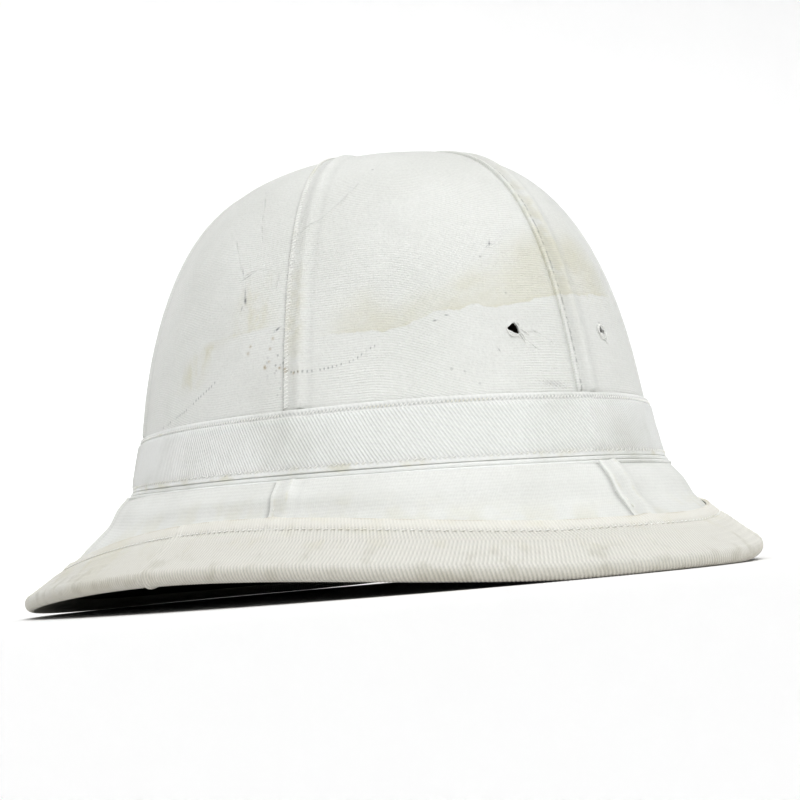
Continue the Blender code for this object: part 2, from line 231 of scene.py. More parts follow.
def crown_point(angle, climb, out):
    """Point at a distance outside the pith crown, or inside it if the distance is negative"""
    angle, climb, out = np.broadcast_arrays(angle, climb, out)
    return stand(crown_face(angle, climb) + out[..., None] * crown_normal(angle, climb))


def outward(angle):
    """Level direction straight away from the foot of the crown"""
    across = np.sin(angle) / half_size(0.0, CROWN_WIDTH)
    along = -np.cos(angle) / half_size(0.0, CROWN_LENGTH)
    return unit(stack(across, along, 0.0))


def brim_reach(angle):
    """Level width of the pith brim, blended round from its front, side and back widths"""
    ends = (BRIM_FRONT + BRIM_BACK) / 4
    half_side = BRIM_SIDE / 2
    lean = (BRIM_FRONT - BRIM_BACK) / 2
    reach = ends + half_side + lean * np.cos(angle) + (ends - half_side) * np.cos(2 * angle)
    return reach - NOSE_OUT


def edge_height(angle):
    """Height of the pith's edge: level at front and back, lifted at the sides"""
    flat = math.sin(REST_ARC) ** 2
    rise = np.maximum(0.0, (np.sin(angle) ** 2 - flat) / (1.0 - flat))
    return NOSE_DROP + SIDE_LIFT * rise * (1.0 + LIFT_SKEW * np.cos(angle))


def brim_face(angle, share):
    """Point on the pith brim's upper face, from the crown's foot at 0 to the edge at 1"""
    angle, share = np.broadcast_arrays(angle, share)
    root = stand(crown_face(angle, 0.0))
    drop = root[..., 2] - edge_height(angle)
    level = root + outward(angle) * (brim_reach(angle) * share)[..., None]
    level[..., 2] = root[..., 2] - drop * ((1.0 + BRIM_HOLLOW) * share - BRIM_HOLLOW * share ** 2)
    return level


def brim_normal(angle, share):
    """Direction straight out of the brim's upper face"""
    turn = brim_face(angle + SLOPE_STEP, share) - brim_face(angle - SLOPE_STEP, share)
    rise = brim_face(angle, share - SLOPE_STEP) - brim_face(angle, share + SLOPE_STEP)
    return unit(np.cross(turn, rise))


def brim_point(angle, share, out):
    """Point at a distance above the pith brim's upper face"""
    angle, share, out = np.broadcast_arrays(angle, share, out)
    return brim_face(angle, share) + out[..., None] * brim_normal(angle, share)


def root_point(angle, out):
    """Point off the bend between crown and brim, along the middle of their two directions"""
    middle = unit(tip_forward(crown_normal(angle, 0.0)) + brim_normal(angle, 0.0))
    return stand(crown_face(angle, 0.0)) + out * middle


def brim_sheet(angle, share, root_out, out):
    """Grid of points over the brim, beginning at its bend with the crown"""
    return np.concatenate((root_point(angle, root_out), brim_point(angle, share, out)), axis=1)


def brim_wall(share):
    """Thickness of the pith brim, thinning from its root to its edge"""
    return PITH_BRIM_WALL + (PITH_EDGE_WALL - PITH_BRIM_WALL) * share


CLIMBS = np.linspace(0.0, 1.0, 4001)
MEAN_HALF = (half_size(CLIMBS, CROWN_LENGTH) + half_size(CLIMBS, CROWN_WIDTH)) / 2
RUN_STEPS = np.hypot(np.diff(MEAN_HALF), np.diff(height_at(CLIMBS)))
RUNS = np.concatenate(([0.0], np.cumsum(RUN_STEPS)))


def run_at(climb):
    """Length along the crown's curve from its foot to a climb"""
    return np.interp(climb, CLIMBS, RUNS)


def climb_at_run(run):
    """Climb at a length along the crown's curve"""
    return np.interp(run, RUNS, CLIMBS)


def metric(angle, climb):
    """Metres round the crown for each radian"""
    wide = half_size(climb, CROWN_WIDTH) * np.cos(angle)
    long = half_size(climb, CROWN_LENGTH) * np.sin(angle)
    return np.hypot(wide, long)


def lengths_along(points):
    """Length along a path of points, up to each of them"""
    return np.concatenate(([0.0], np.cumsum(np.linalg.norm(np.diff(points, axis=0), axis=1))))


def gentle_wave(angle, along):
    """Slow unevenness of cloth over pith, the same all the way round"""
    total = 0.0
    for part, *sines in WAVES:
        for turns, length, phase in sines:
            part = part * np.sin(turns * angle + along / length + phase)
        total = total + part
    return WAVE_HEIGHT * total


def lap_relief(distance, groove=SOFT_GROOVE):
    """Height of a lapped seam's ridge at a distance from its folded edge"""
    near = 1.0 - np.clip(distance / FOLD_ROUND, 0.0, 1.0)
    edge = 0.30 + 0.70 * np.sqrt(1.0 - near ** 2)
    puff = RIDGE_PUFF * bell(distance, RIDGE_LINE, RIDGE_WIDTH)
    dips = VALLEY * bell(distance, VALLEY_LINE, VALLEY_WIDTH)
    dips = dips + groove * bell(distance, STITCH_LINE, STITCH_WIDTH)
    return (LAP_HEIGHT * edge + puff - dips) * (1.0 - smooth_step(distance, RIDGE_END, RIDGE_FOOT))


def with_dense(values, middle, reach, step):
    """Values with an even, finer run of them round a middle"""
    count = int(round(2 * reach / step)) + 1
    dense = np.linspace(middle - reach, middle + reach, count)
    outside = values[np.abs(values - middle) > reach + step / 2]
    return np.sort(np.concatenate((outside, dense)))


def torn_radius(around, edge):
    """Distance of a torn edge from the hole's middle in a direction, in metres"""
    steps = np.arange(len(edge) + 1) * (2 * math.pi / len(edge))
    return np.interp(around % (2 * math.pi), steps, (*edge, edge[0])) * MM


def hole_turn(hole, angles):
    """Angle of a hole's middle, counted the same way round as the angles beside it"""
    turn = math.radians(hole[1])
    return turn + 2 * math.pi * round((angles.mean() - turn) / (2 * math.pi))


def cut_hole(hole, angles, climbs, share=1.0):
    """Torn hole in a grid: kept quads, points drawn to its edge, and gaps and directions from it"""
    turn, middle = hole_turn(hole, angles), climb_at(hole[2] * MM)
    edge = [share * reach for reach in hole[3]]
    scale = metric(turn, middle)
    across = (angles - turn) * scale
    rise = run_at(climbs) - run_at(middle)
    off = np.hypot(across, rise)
    around = np.arctan2(rise, across)
    gap = off - torn_radius(around, edge)
    keep = (gap[:-1, :-1] + gap[1:, :-1] + gap[:-1, 1:] + gap[1:, 1:]) > 0.0
    near_kept, near_cut = np.zeros((2, *gap.shape), dtype=bool)
    for i, j in ((0, 0), (0, 1), (1, 0), (1, 1)):
        part = (slice(i, gap.shape[0] - 1 + i), slice(j, gap.shape[1] - 1 + j))
        near_kept[part] |= keep
        near_cut[part] |= ~keep
    border = near_kept & near_cut
    move = np.where(border, torn_radius(around, edge) / np.maximum(off, TINY), 1.0)
    angles = np.where(border, turn + across * move / scale, angles)
    climbs = np.where(border, climb_at_run(run_at(middle) + rise * move), climbs)
    return keep, angles, climbs, np.where(border, 0.0, gap), around


def grid_quads(columns, rows, ring, keep=None):
    """Corner places of a grid's quads; a ring has one more column of places than of points"""
    last = columns if ring else columns - 1
    i, j = np.meshgrid(np.arange(last), np.arange(rows - 1), indexing="ij")
    corners = (i * rows + j, (i + 1) * rows + j, (i + 1) * rows + j + 1, i * rows + j + 1)
    places = np.stack(corners, axis=-1).reshape(-1, 4)
    return places if keep is None else places[keep.reshape(-1)]


def signed_volume(points, quads):
    """Volume inside a closed mesh of quads, negative if it is inside out"""
    a, b, c, d = (points[quads[:, i]] for i in range(4))
    first = np.einsum("ij,ij->i", a, np.cross(b, c)).sum()
    second = np.einsum("ij,ij->i", a, np.cross(c, d)).sum()
    return (first + second) / 6


def add_object(name, data):
    """Object in the scene's own collection"""
    item = bpy.data.objects.new(name, data)
    bpy.context.scene.collection.objects.link(item)
    return item


def add_faces(name, points, faces, material):
    """Smooth object from a list of points and a list of faces"""
    mesh = bpy.data.meshes.new(name)
    mesh.from_pydata(points, [], faces)
    mesh.materials.append(material)
    mesh.shade_smooth()
    return add_object(name, mesh)


def add_quads(name, points, quads, material, values):
    """Object of quads with a value for each corner under each name"""
    if signed_volume(points, quads) < 0.0:
        quads = quads[:, ::-1]
        values = {key: value[:, ::-1] for key, value in values.items()}
    mesh = bpy.data.meshes.new(name)
    mesh.vertices.add(len(points))
    mesh.vertices.foreach_set("co", points.astype(np.float32).ravel())
    mesh.loops.add(quads.size)
    mesh.loops.foreach_set("vertex_index", quads.astype(np.int32).ravel())
    mesh.polygons.add(len(quads))
    mesh.polygons.foreach_set("loop_start", np.arange(0, quads.size, 4, dtype=np.int32))
    mesh.update(calc_edges=True)
    for key, value in values.items():
        layer = mesh.attributes.new(key, "FLOAT", "CORNER")
        layer.data.foreach_set("value", value.astype(np.float32).ravel())
    mesh.materials.append(material)
    mesh.shade_smooth()
    mesh.set_sharp_from_angle(angle=SHARP_ANGLE)
    return add_object(name, mesh)


def add_wall(name, outer, inner, material, values, ring=False, keep=None):
    """Closed wall between two grids of points; holes and borders get a rim"""
    columns, rows = outer.shape[:2]
    count = columns * rows
    places = grid_quads(columns, rows, ring, keep)
    quads = places % count
    heads = np.roll(quads, -1, axis=1)
    border = ~np.isin((quads * count + heads).ravel(), (heads * count + quads).ravel())
    tail_places = places.ravel()[border]
    head_places = np.roll(places, -1, axis=1).ravel()[border]
    first, second = tail_places % count, head_places % count
    rims = np.stack((second, first, first + count, second + count), axis=-1)
    faces = np.concatenate((quads, quads[:, ::-1] + count, rims))
    rim_spots = np.stack((head_places, tail_places, tail_places, head_places), axis=-1)
    spots = np.concatenate((places, places[:, ::-1], rim_spots))
    full = (columns + 1 if ring else columns, rows)
    corner_values = {key: np.broadcast_to(value, full).reshape(-1)[spots] for key, value in values.items()}
    points = np.concatenate((outer.reshape(-1, 3), inner.reshape(-1, 3)))
    used = np.zeros(len(points), dtype=bool)
    used[faces.ravel()] = True
    renumber = np.cumsum(used) - 1
    return add_quads(name, points[used], renumber[faces], material, corner_values)


def finish_piece(item, slot, *nodes):
    """Let a piece ride on the root body and hide the solids it stands for; the slot for its finish is not
    used
    """
    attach(item, "root")
    if nodes:
        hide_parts(*nodes)
    return item


def wrapped(points):
    """Grid of a ring with its first column again at the end"""
    return np.concatenate((points, points[:1]))


class Field:
    """A number that varies over a surface, for writing sums of shader nodes"""

    def __init__(self, look, socket):
        self.look = look
        self.socket = socket

    def __add__(self, other):
        return self.look.math("ADD", self, other)

    def __sub__(self, other):
        return self.look.math("SUBTRACT", self, other)

    def __rsub__(self, other):
        return self.look.math("SUBTRACT", other, self)

    def __mul__(self, other):
        return self.look.math("MULTIPLY", self, other)

    def __truediv__(self, other):
        return self.look.math("DIVIDE", self, other)

    __radd__ = __add__
    __rmul__ = __mul__


# Places of the mix node's factor and two colours among its inputs, and of its colour among its outputs
MIX_COLOUR_INPUTS = (0, 6, 7)
MIX_COLOUR_OUTPUT = 2


class Look:
    """One procedural material"""

    def __init__(self, name, roughness, sheen=0.0):
        self.material = bpy.data.materials.new(name)
        self.material.use_nodes = True
        self.tree = self.material.node_tree
        self.shader = self.tree.nodes["Principled BSDF"]
        self.shader.inputs["Roughness"].default_value = roughness
        self.shader.inputs["Sheen Weight"].default_value = sheen
        self.place = self.node("ShaderNodeTexCoord").outputs["Object"]

    def node(self, kind, **settings):
        """New node with its settings"""
        made = self.tree.nodes.new(kind)
        for key, value in settings.items():
            setattr(made, key, value)
        return made

    def put(self, value, socket):
        """Link a field or set a plain value"""
        if isinstance(value, Field):
            value = value.socket
        if isinstance(value, bpy.types.NodeSocket):
            self.tree.links.new(value, socket)
        else:
            socket.default_value = value

    def math(self, operation, *inputs):
        """Field worked out from fields and numbers"""
        made = self.node("ShaderNodeMath", operation=operation)
        for value, socket in zip(inputs, made.inputs):
            self.put(value, socket)
        return Field(self, made.outputs[0])

    def read(self, name):
        """Field that the mesh carries under a name"""
        made = self.node("ShaderNodeAttribute", attribute_name=name)
        return Field(self, made.outputs["Fac"])

    def noise(self, size, detail=2.0, roughness=0.5, stretch=None, place=None):
        """Even noise from 0 to 1 with patches about this many metres across"""
        place = place or self.place
        if stretch:
            mapping = self.node("ShaderNodeMapping")
            self.put(place, mapping.inputs["Vector"])
            mapping.inputs["Scale"].default_value = stretch
            place = mapping.outputs[0]
        made = self.node("ShaderNodeTexNoise")
        self.put(place, made.inputs["Vector"])
        made.inputs["Scale"].default_value = 1.0 / size
        made.inputs["Detail"].default_value = detail
        made.inputs["Roughness"].default_value = roughness
        return Field(self, made.outputs[0])

    def noise_on(self, x, y, size, detail=2.0):
        """Noise in the surface's own coordinates"""
        joined = self.node("ShaderNodeCombineXYZ")
        self.put(x, joined.inputs[0])
        self.put(y, joined.inputs[1])
        return self.noise(size, detail, place=joined.outputs[0])

    def smooth(self, value, low, high):
        """Smooth step from 0 at low to 1 at high"""
        made = self.node("ShaderNodeMapRange", interpolation_type="SMOOTHSTEP")
        self.put(value, made.inputs["Value"])
        self.put(low, made.inputs["From Min"])
        self.put(high, made.inputs["From Max"])
        return Field(self, made.outputs["Result"])

    def below(self, value, low, high):
        """Smooth step from 1 at low to 0 at high"""
        return 1.0 - self.smooth(value, low, high)

    def between(self, value, low, full, fade, high):
        """Smooth rise from low to full, 1 up to fade, and smooth fall to high"""
        return self.smooth(value, low, full) * self.below(value, fade, high)

    def patches(self, size, low, high, detail=2.0, roughness=0.5, stretch=None):
        """Soft patches about this many metres across: noise, cut between two of its values"""
        return self.smooth(self.noise(size, detail, roughness, stretch), low, high)

    def cells(self, size, feature):
        """Distances in a pattern of cells about this many metres across"""
        made = self.node("ShaderNodeTexVoronoi", feature=feature)
        made.inputs["Scale"].default_value = 1.0 / size
        self.put(self.place, made.inputs["Vector"])
        return Field(self, made.outputs["Distance"])

    def capped(self, value):
        """Value of 1 at most"""
        return self.math("MINIMUM", value, 1.0)

    def bell(self, value, centre, width):
        """1 at the centre, falling off smoothly on both sides"""
        off = (value - centre) / width
        return self.math("EXPONENT", off * off * -1.0)

    def ribs(self, value, pitch):
        """Smooth ribs from 0 to 1, one for each pitch of the value"""
        return self.math("SINE", value * (2 * math.pi / pitch)) * 0.5 + 0.5

    def curve(self, value, table):
        """Smooth curve through a short table of x and y"""
        xs, ys = zip(*table)
        made = self.node("ShaderNodeFloatCurve")
        points = made.mapping.curves[0].points
        low_x, wide_x, low_y, wide_y = xs[0], xs[-1] - xs[0], min(ys), max(ys) - min(ys)
        for i, (x, y) in enumerate(table):
            spot = ((x - low_x) / wide_x, (y - low_y) / wide_y)
            if i in (0, len(table) - 1):
                points[0 if i == 0 else -1].location = spot
            else:
                points.new(*spot)
        made.mapping.update()
        self.put((value - low_x) / wide_x, made.inputs["Value"])
        return Field(self, made.outputs[0]) * wide_y + low_y

    def blend(self, amount, under, over, kind="MIX"):
        """Colour that goes from one to the other as amount rises from 0 to 1"""
        made = self.node("ShaderNodeMix", data_type="RGBA", blend_type=kind)
        for place, value in zip(MIX_COLOUR_INPUTS, (amount, under, over)):
            self.put(value, made.inputs[place])
        return made.outputs[MIX_COLOUR_OUTPUT]

    def shade(self, colour, amount):
        """Colour multiplied by a field"""
        joined = self.node("ShaderNodeCombineColor")
        for socket in joined.inputs[:3]:
            self.put(amount, socket)
        return self.blend(1.0, colour, joined.outputs[0], "MULTIPLY")

    def raise_by(self, field, depth):
        """Let the surface stand out by a field from 0 to 1 times a depth in metres"""
        made = self.node("ShaderNodeBump")
        made.inputs["Distance"].default_value = depth
        self.put(field, made.inputs["Height"])
        before = self.shader.inputs["Normal"]
        if before.is_linked:
            self.put(before.links[0].from_socket, made.inputs["Normal"])
        self.put(made.outputs[0], before)

    def finish(self, colour):
        """Set the colour and hand over the material"""
        self.put(colour, self.shader.inputs["Base Color"])
        return self.material


def linear(red, green, blue):
    """Linear colour from screen values of 0 to 255"""
    parts = [value / 255 for value in (red, green, blue)]
    line = [p / 12.92 if p <= 0.04045 else ((p + 0.055) / 1.055) ** 2.4 for p in parts]
    return (*line, 1.0)


# Colours as the photograph shows them
CLOTH = linear(238, 239, 236)
CLOTH_SHADE = linear(227, 228, 224)
BAND = linear(244, 245, 243)
TAPE = linear(232, 231, 225)
THREAD = linear(248, 248, 245)
SOIL = linear(213, 208, 176)
DARK_SOIL_AND_SHADE = linear(178, 166, 140)
# dark soil, and painted shade on the binding's underside
GREY = linear(92, 94, 98)
BROWN = linear(168, 150, 112)
RUST = linear(120, 78, 44)
LINING = linear(24, 32, 28)
LINING_LIGHT = linear(44, 52, 46)
LEATHER = linear(44, 28, 20)
LEATHER_LIGHT = linear(92, 62, 42)
# brown pith painted darker than its own tan: painted shade inside the crown and its holes
SHADED_PITH = linear(88, 73, 54)
SHADED_PITH_LAYER = linear(72, 60, 44)
FLOOR = linear(255, 255, 255)


# Pitches of the threads in the cloth, of the hatband's ribs and of the ticks along its hem
CROWN_WEFT = 0.00082
BRIM_WEFT = 0.00080
BRIM_WARP = 0.00075
TWILL_PITCH = 0.00102
TICK_PITCH = 0.00120
TWILL_LEAN = 32.0
LEATHER_PORES = 0.0012
SPECK_GRID = 0.0019

# Large stain on the crown: its sharp lower edge, and the soft upper one: turn in degrees, height in mm
TIDE_LINE = (
    (-58, 44.5), (-46, 45.9), (-38, 45.6), (-35, 46.8), (-31, 48.3), (-27, 50.4), (-23, 51.0), (-20.5, 52.2),
    (-18, 50.6), (-15, 51.3), (-10, 51.9), (-5, 53.7), (4, 55.5), (24, 57.0),
)
TIDE_TOP = (
    (-58, 52.0), (-43, 56.7), (-36, 55.5), (-29, 57.5), (-23, 60.5), (-16, 65.0), (-5, 73.0),
    (10, 76.0), (24, 70.0),
)

# Beige streak down the side panel, from its middle line: height in mm, turn in degrees
STREAK_LINE = ((34, -88.0), (38, -86.5), (42, -85.4), (50, -76.4), (52, -68.5), (61, -67.8), (68, -67.0))

# Rows of small dark specks on the crown: a line of turns in degrees and heights in mm, how far the specks
# stray from it, and the turns between which they show
SPECK_ROWS = (
    (
        (
            (-60, 35.8), (-52, 35.6), (-49, 36.3), (-46, 37.2),
            (-43.4, 39.6), (-38, 43.6), (-33, 46.2), (-26, 49.0),
        ),
        0.5,
        (-59.5, -58.5, -42.0, -39.0),
    ),
    (
        ((-99, 24.8), (-95, 26.0), (-89, 28.4), (-86.7, 29.7), (-82.5, 32.7), (-79.3, 35.1), (-77, 37.4)),
        1.0,
        (-100.0, -98.0, -77.5, -77.0),
    ),
)

# Scuffs and nicks: turn in degrees, height, length and width in mm, slant in degrees, strength
SCUFFS = (
    (-71.2, 64.6, 3.0, 0.55, 100, 0.5),
    (-70.9, 62.0, 2.6, 0.90, 105, 1.0),
    (-71.6, 59.4, 1.6, 0.50, 80, 0.5),
    (-73.0, 72.2, 3.0, 0.35, 110, 0.6),
    (-71.3, 70.0, 4.6, 0.40, 20, 0.7),
    (-61.9, 50.1, 2.3, 0.60, 32, 0.9),
    (-13.9, 72.0, 2.2, 0.45, 70, 0.8),
    (-13.4, 71.8, 2.8, 0.30, 350, 0.5),
    (-14.6, 71.2, 1.4, 0.30, 215, 0.5),
    (-16.8, 37.2, 1.3, 0.40, 300, 0.5),
    (-17.0, 67.5, 0.9, 0.50, 0, 0.5),
    (-29.2, 47.4, 1.2, 0.45, 0, 0.7),
    (-26.7, 48.9, 1.3, 0.40, 0, 0.6),
    (14.0, 41.2, 0.9, 0.80, 300, 1.0),
)

# Small brown spots beside the left seam, as wide as they are long, with the same columns
BROWN_SPOTS = (
    (-62.8, 47.4, 1.1, 1.1, 0, 0.5),
    (-63.4, 44.1, 0.9, 0.9, 0, 0.5),
    (-64.4, 38.4, 1.2, 1.2, 0, 0.9),
    (-63.5, 39.9, 0.8, 0.8, 0, 0.7),
    (-61.1, 37.5, 0.9, 0.9, 0, 0.7),
    (-57.7, 35.1, 0.8, 0.8, 0, 0.7),
    (-56.6, 35.1, 0.8, 0.8, 0, 0.6),
    (-59.6, 36.3, 1.9, 1.9, 0, 0.6),
    (-68.3, 45.9, 1.0, 1.0, 0, 0.5),
    (-68.9, 43.8, 1.4, 1.4, 0, 0.4),
)

# Fine creases that run more level than upright: turn in degrees, height in mm
LEVEL_CREASES = (
    ((-60.0, 79.5), (-55.3, 83.4), (-50.9, 88.2), (-46.0, 93.9), (-41.3, 102.0)),
    ((-72.9, 69.6), (-70.5, 71.0), (-68.9, 71.4), (-66.0, 70.6), (-62.6, 68.6)),
    ((-9.0, 43.2), (-7.0, 42.0), (-3.5, 38.4)),
    ((-11.0, 42.6), (-8.6, 42.5), (-6.0, 41.3)),
)

# Fine creases that run more upright than level: height in mm, turn in degrees
STEEP_CREASES = (
    ((78.9, -68.2), (88.8, -70.8), (96.0, -72.6), (104.7, -78.4)),
    ((61.8, -63.1), (68.1, -62.6), (72.3, -61.5), (75.3, -60.7)),
    ((36.6, -7.8), (39.0, -9.6), (41.6, -11.6), (42.6, -11.9)),
    ((72.0, -73.4), (78.0, -75.6), (86.0, -79.0)),
)

# Soft places on the crown: turn and its spread in degrees, height and its spread in mm
SIDE_SOIL = (-57.0, 6.0, 54.0, 16.0)
FRONT_SOIL = (4.0, 9.0, 78.0, 24.0)
RIGHT_BLUSH = (13.0, 7.0, 68.0, 11.0)
SPECK_CLUSTER = (-61.5, 3.0, 40.0, 5.5)
WRINKLES = (-5.6, 2.9, 24.9, 1.1)

# Millimetres round the crown for each degree, and sizes of the marks in mm
DEGREE_MM = 1.6
CREASE_WIDTH = 0.42
DOT_PITCH = 1.35
DOT_SIZE = 0.42
WRINKLE_PITCH = 1.15


def stroke_field(look, turn, rise, middle, high, length, width, slant, strength):
    """Strength on a short straight stroke on the crown, 0 away from it; lengths in mm"""
    lean = math.radians(slant)
    x = (turn - middle) * DEGREE_MM
    y = rise - high
    along = x * math.cos(lean) + y * math.sin(lean)
    side = y * math.cos(lean) - x * math.sin(lean)
    return look.bell(side, 0.0, width / 2) * look.bell(along, 0.0, length / 2) * strength


def stroke_sum(look, turn, rise, strokes):
    """Sum of all the strokes in a table"""
    total = 0.0
    for stroke in strokes:
        total = stroke_field(look, turn, rise, *stroke) + total
    return total


def place_field(look, turn, rise, place):
    """1 in the middle of a soft place on the crown, falling off round it"""
    middle, wide, high, tall = place
    return look.bell(turn, middle, wide) * look.bell(rise, high, tall)


def crease_field(look, along, side, table, side_mm):
    """1 on a curved line given by a table, 0 away from it"""
    start, end = table[0][0], table[-1][0]
    fade = (end - start) * 0.15
    ends = look.between(along, start, start + fade, end - fade, end)
    return look.bell((side - look.curve(along, table)) * side_mm, 0.0, CREASE_WIDTH) * ends


def seam_shade(look, seam, valley, ridge):
    """Painted shade beside a seam's ridge, and painted highlights at its folded edge and on its top"""
    # dips is painted shade in the valley beside the ridge and at its foot; edge and the ridge term are
    # painted highlights
    dips = look.bell(seam, VALLEY_LINE, 0.0013) + look.bell(seam, RIDGE_FOOT - 0.0004, 0.0012)
    edge = look.bell(seam, 0.0004, 0.0006) * 0.06
    return dips * valley - edge - look.bell(seam, RIDGE_LINE, 0.0009) * ridge


def crown_weave(look, across, along, seam):
    """Weft of the drill, stronger in some places than in others, and its grain"""
    bend = look.noise_on(across, along, 0.014, 2.0) * 0.0012
    over = look.smooth(seam, 0.030, 0.075) * 0.010
    weft = look.ribs(along + bend + over, CROWN_WEFT)
    strong = look.patches(0.030, 0.30, 0.62)
    fine = look.noise_on(across * 1.6, along * 3.0, 0.0009, 1.0)
    grain = look.noise(0.0010, 2.0, 0.7) - 0.5
    return weft * (strong * 0.7 + 0.15) + grain * 1.6 + fine * 0.5


def crown_stain(look, turn, rise, seam):
    """Beige of the crown: the large stain, the side's streak and softer dirt"""
    wobble = look.noise(0.0060, 4.0, 0.6) * 4.0 - 2.0
    over_line = rise + wobble - look.curve(turn, TIDE_LINE)
    slow = look.noise(0.020, 3.0) * 12.0 - 6.0
    fade = look.below(rise + slow - look.curve(turn, TIDE_TOP), -6.0, 5.0)
    sides = look.between(turn, -55.0, -42.0, 14.0, 28.0)
    patch = look.patches(0.012, 0.32, 0.60, 4.0)
    stain = look.smooth(over_line, -0.2, 0.5) * fade * sides * (patch * 0.55 + 0.45)
    tide = look.bell(over_line, 0.5, 0.55) * sides * patch
    streaks = look.patches(0.007, 0.40, 0.60, 4.0, 0.6, (1.0, 1.0, 0.45))
    off_streak = (turn - look.curve(rise, STREAK_LINE)) * DEGREE_MM
    heights = look.between(rise, 33.0, 37.0, 62.0, 72.0)
    streak = look.bell(off_streak, 0.0, 6.5) * heights * (streaks * 0.8 + 0.2)
    soil = place_field(look, turn, rise, SIDE_SOIL) + place_field(look, turn, rise, FRONT_SOIL)
    dirt = soil * look.below(seam, 0.0045, 0.0085) * look.patches(0.005, 0.30, 0.65, 3.0)
    blush = place_field(look, turn, rise, RIGHT_BLUSH)
    all_round = look.patches(0.045, 0.56, 0.78, 4.0, 0.6) * look.smooth(turn, -100.0, -175.0)
    beige = stain * 0.80 + streak + dirt * 0.85 + blush * 0.35 + all_round * 0.5 + tide * 0.30
    return look.capped(beige)


def crown_marks(look, across, along, turn, rise):
    """Dark specks in rows, in a cluster and alone, and the scuffs"""
    dots = look.below(look.cells(SPECK_GRID, "F1"), 0.16, 0.32)
    loose = look.noise_on(across, along, 0.004, 1.0) * 0.9
    beads = look.smooth(look.ribs(turn * DEGREE_MM + loose, DOT_PITCH), 0.55, 0.85)
    dotted = beads * (look.patches(0.0045, 0.34, 0.56) * 0.9 + 0.1)
    rows = 0.0
    for line, stray, ends in SPECK_ROWS:
        row = look.bell(rise + loose * stray, look.curve(turn, line), DOT_SIZE)
        rows = row * look.between(turn, *ends) + rows
    cluster = place_field(look, turn, rise, SPECK_CLUSTER) * 0.45
    lone = look.patches(0.010, 0.68, 0.74) * 0.25
    marks = rows * dotted * 0.55 + (cluster + lone) * dots + stroke_sum(look, turn, rise, SCUFFS)
    return look.capped(marks * look.patches(0.0011, 0.20, 0.50))


def crown_creases(look, turn, rise):
    """Fine creases, broken up along their length"""
    creases = 0.0
    for table in LEVEL_CREASES:
        creases = crease_field(look, turn, rise, table, 1.0) + creases
    for table in STEEP_CREASES:
        creases = crease_field(look, rise, turn, table, DEGREE_MM) + creases
    return creases * look.patches(0.004, 0.30, 0.60)


def crown_shadows(look, across, along, turn, rise, seam):
    """How much darker the cloth is painted: painted shade by its seams, round the frayed hole and in the
    front seam's line, less painted highlights
    """
    ragged = look.patches(0.0016, 0.40, 0.58, 3.0, 0.7)
    wander = look.noise_on(across, along, 0.0030, 2.0) * 0.0009
    # painted shadow in the stitch holes of the front seam's line
    at_front = look.bell(turn, 1.5, 5.0) * ragged
    front_stitch_shadow = look.bell(seam + wander, STITCH_LINE + 0.0004, 0.00040) * at_front
    soft = 1.0 - look.bell(turn, 0.0, 3.0) * 0.8
    # painted shadow beside the next panel's folded edge, weaker at the front seam
    shadow = look.bell(look.read("next"), 0.0, 0.0008) * soft * 0.24
    fibres = look.noise_on(seam * 4.0, along * 0.25, 0.0016, 2.0) * look.below(seam, 0.006, 0.009)
    ridge = seam_shade(look, seam, 0.045, 0.04) + fibres * 0.05
    # painted shadow in a ragged ring round the frayed hole, and a painted highlight on the curled lip just
    # inside it
    off, high = (turn - FRAYED_HOLE[1]) * DEGREE_MM, rise - FRAYED_HOLE[2]
    spread = off * off + high * high
    frayed = look.bell(spread, 8.5, 1.8) * ragged * 0.16 - look.bell(spread, 5.0, 1.8) * 0.05
    # painted light: the cloth is painted lighter low on the front
    low_front_painted_light = look.below(rise, 26.0, 50.0) * look.bell(turn, -28.0, 26.0) * 0.035
    return front_stitch_shadow * 0.32 + shadow + ridge + frayed - low_front_painted_light


def crown_cloth():
    """White drill of the crown, with a large beige stain, specks, scuffs and creases, and painted shade and
    highlights
    """
    look = Look("crown_cloth", 0.85, 0.10)
    across, along, turn, rise, seam = map(look.read, ("across", "along", "turn", "rise", "seam"))
    weave = crown_weave(look, across, along, seam)
    mottle = look.noise(0.035, 4.0)
    creases = crown_creases(look, turn, rise)
    leaning = look.ribs(turn * DEGREE_MM * 0.8 + rise * 0.9, WRINKLE_PITCH)
    wrinkles = leaning * place_field(look, turn, rise + turn * 0.25, WRINKLES)
    spots = stroke_sum(look, turn, rise, BROWN_SPOTS) * look.patches(0.0013, 0.25, 0.60)
    colour = look.blend(look.smooth(mottle, 0.35, 0.75) * 0.5, CLOTH, CLOTH_SHADE)
    colour = look.blend(crown_stain(look, turn, rise, seam) * 0.34, colour, SOIL)
    colour = look.blend(spots, colour, BROWN)
    colour = look.blend(crown_marks(look, across, along, turn, rise) * 0.75, colour, GREY)
    # painted shade in the creases and the wrinkles, on top of the painted light and shade from crown_shadows
    dark = crown_shadows(look, across, along, turn, rise, seam) + creases * 0.040 + wrinkles * 0.16
    colour = look.shade(colour, weave * 0.080 + 0.915 - dark)
    look.raise_by(weave, 0.00010)
    look.raise_by(mottle * 0.6 + creases * -0.30 - wrinkles * 0.3, 0.0006)
    return look.finish(colour)


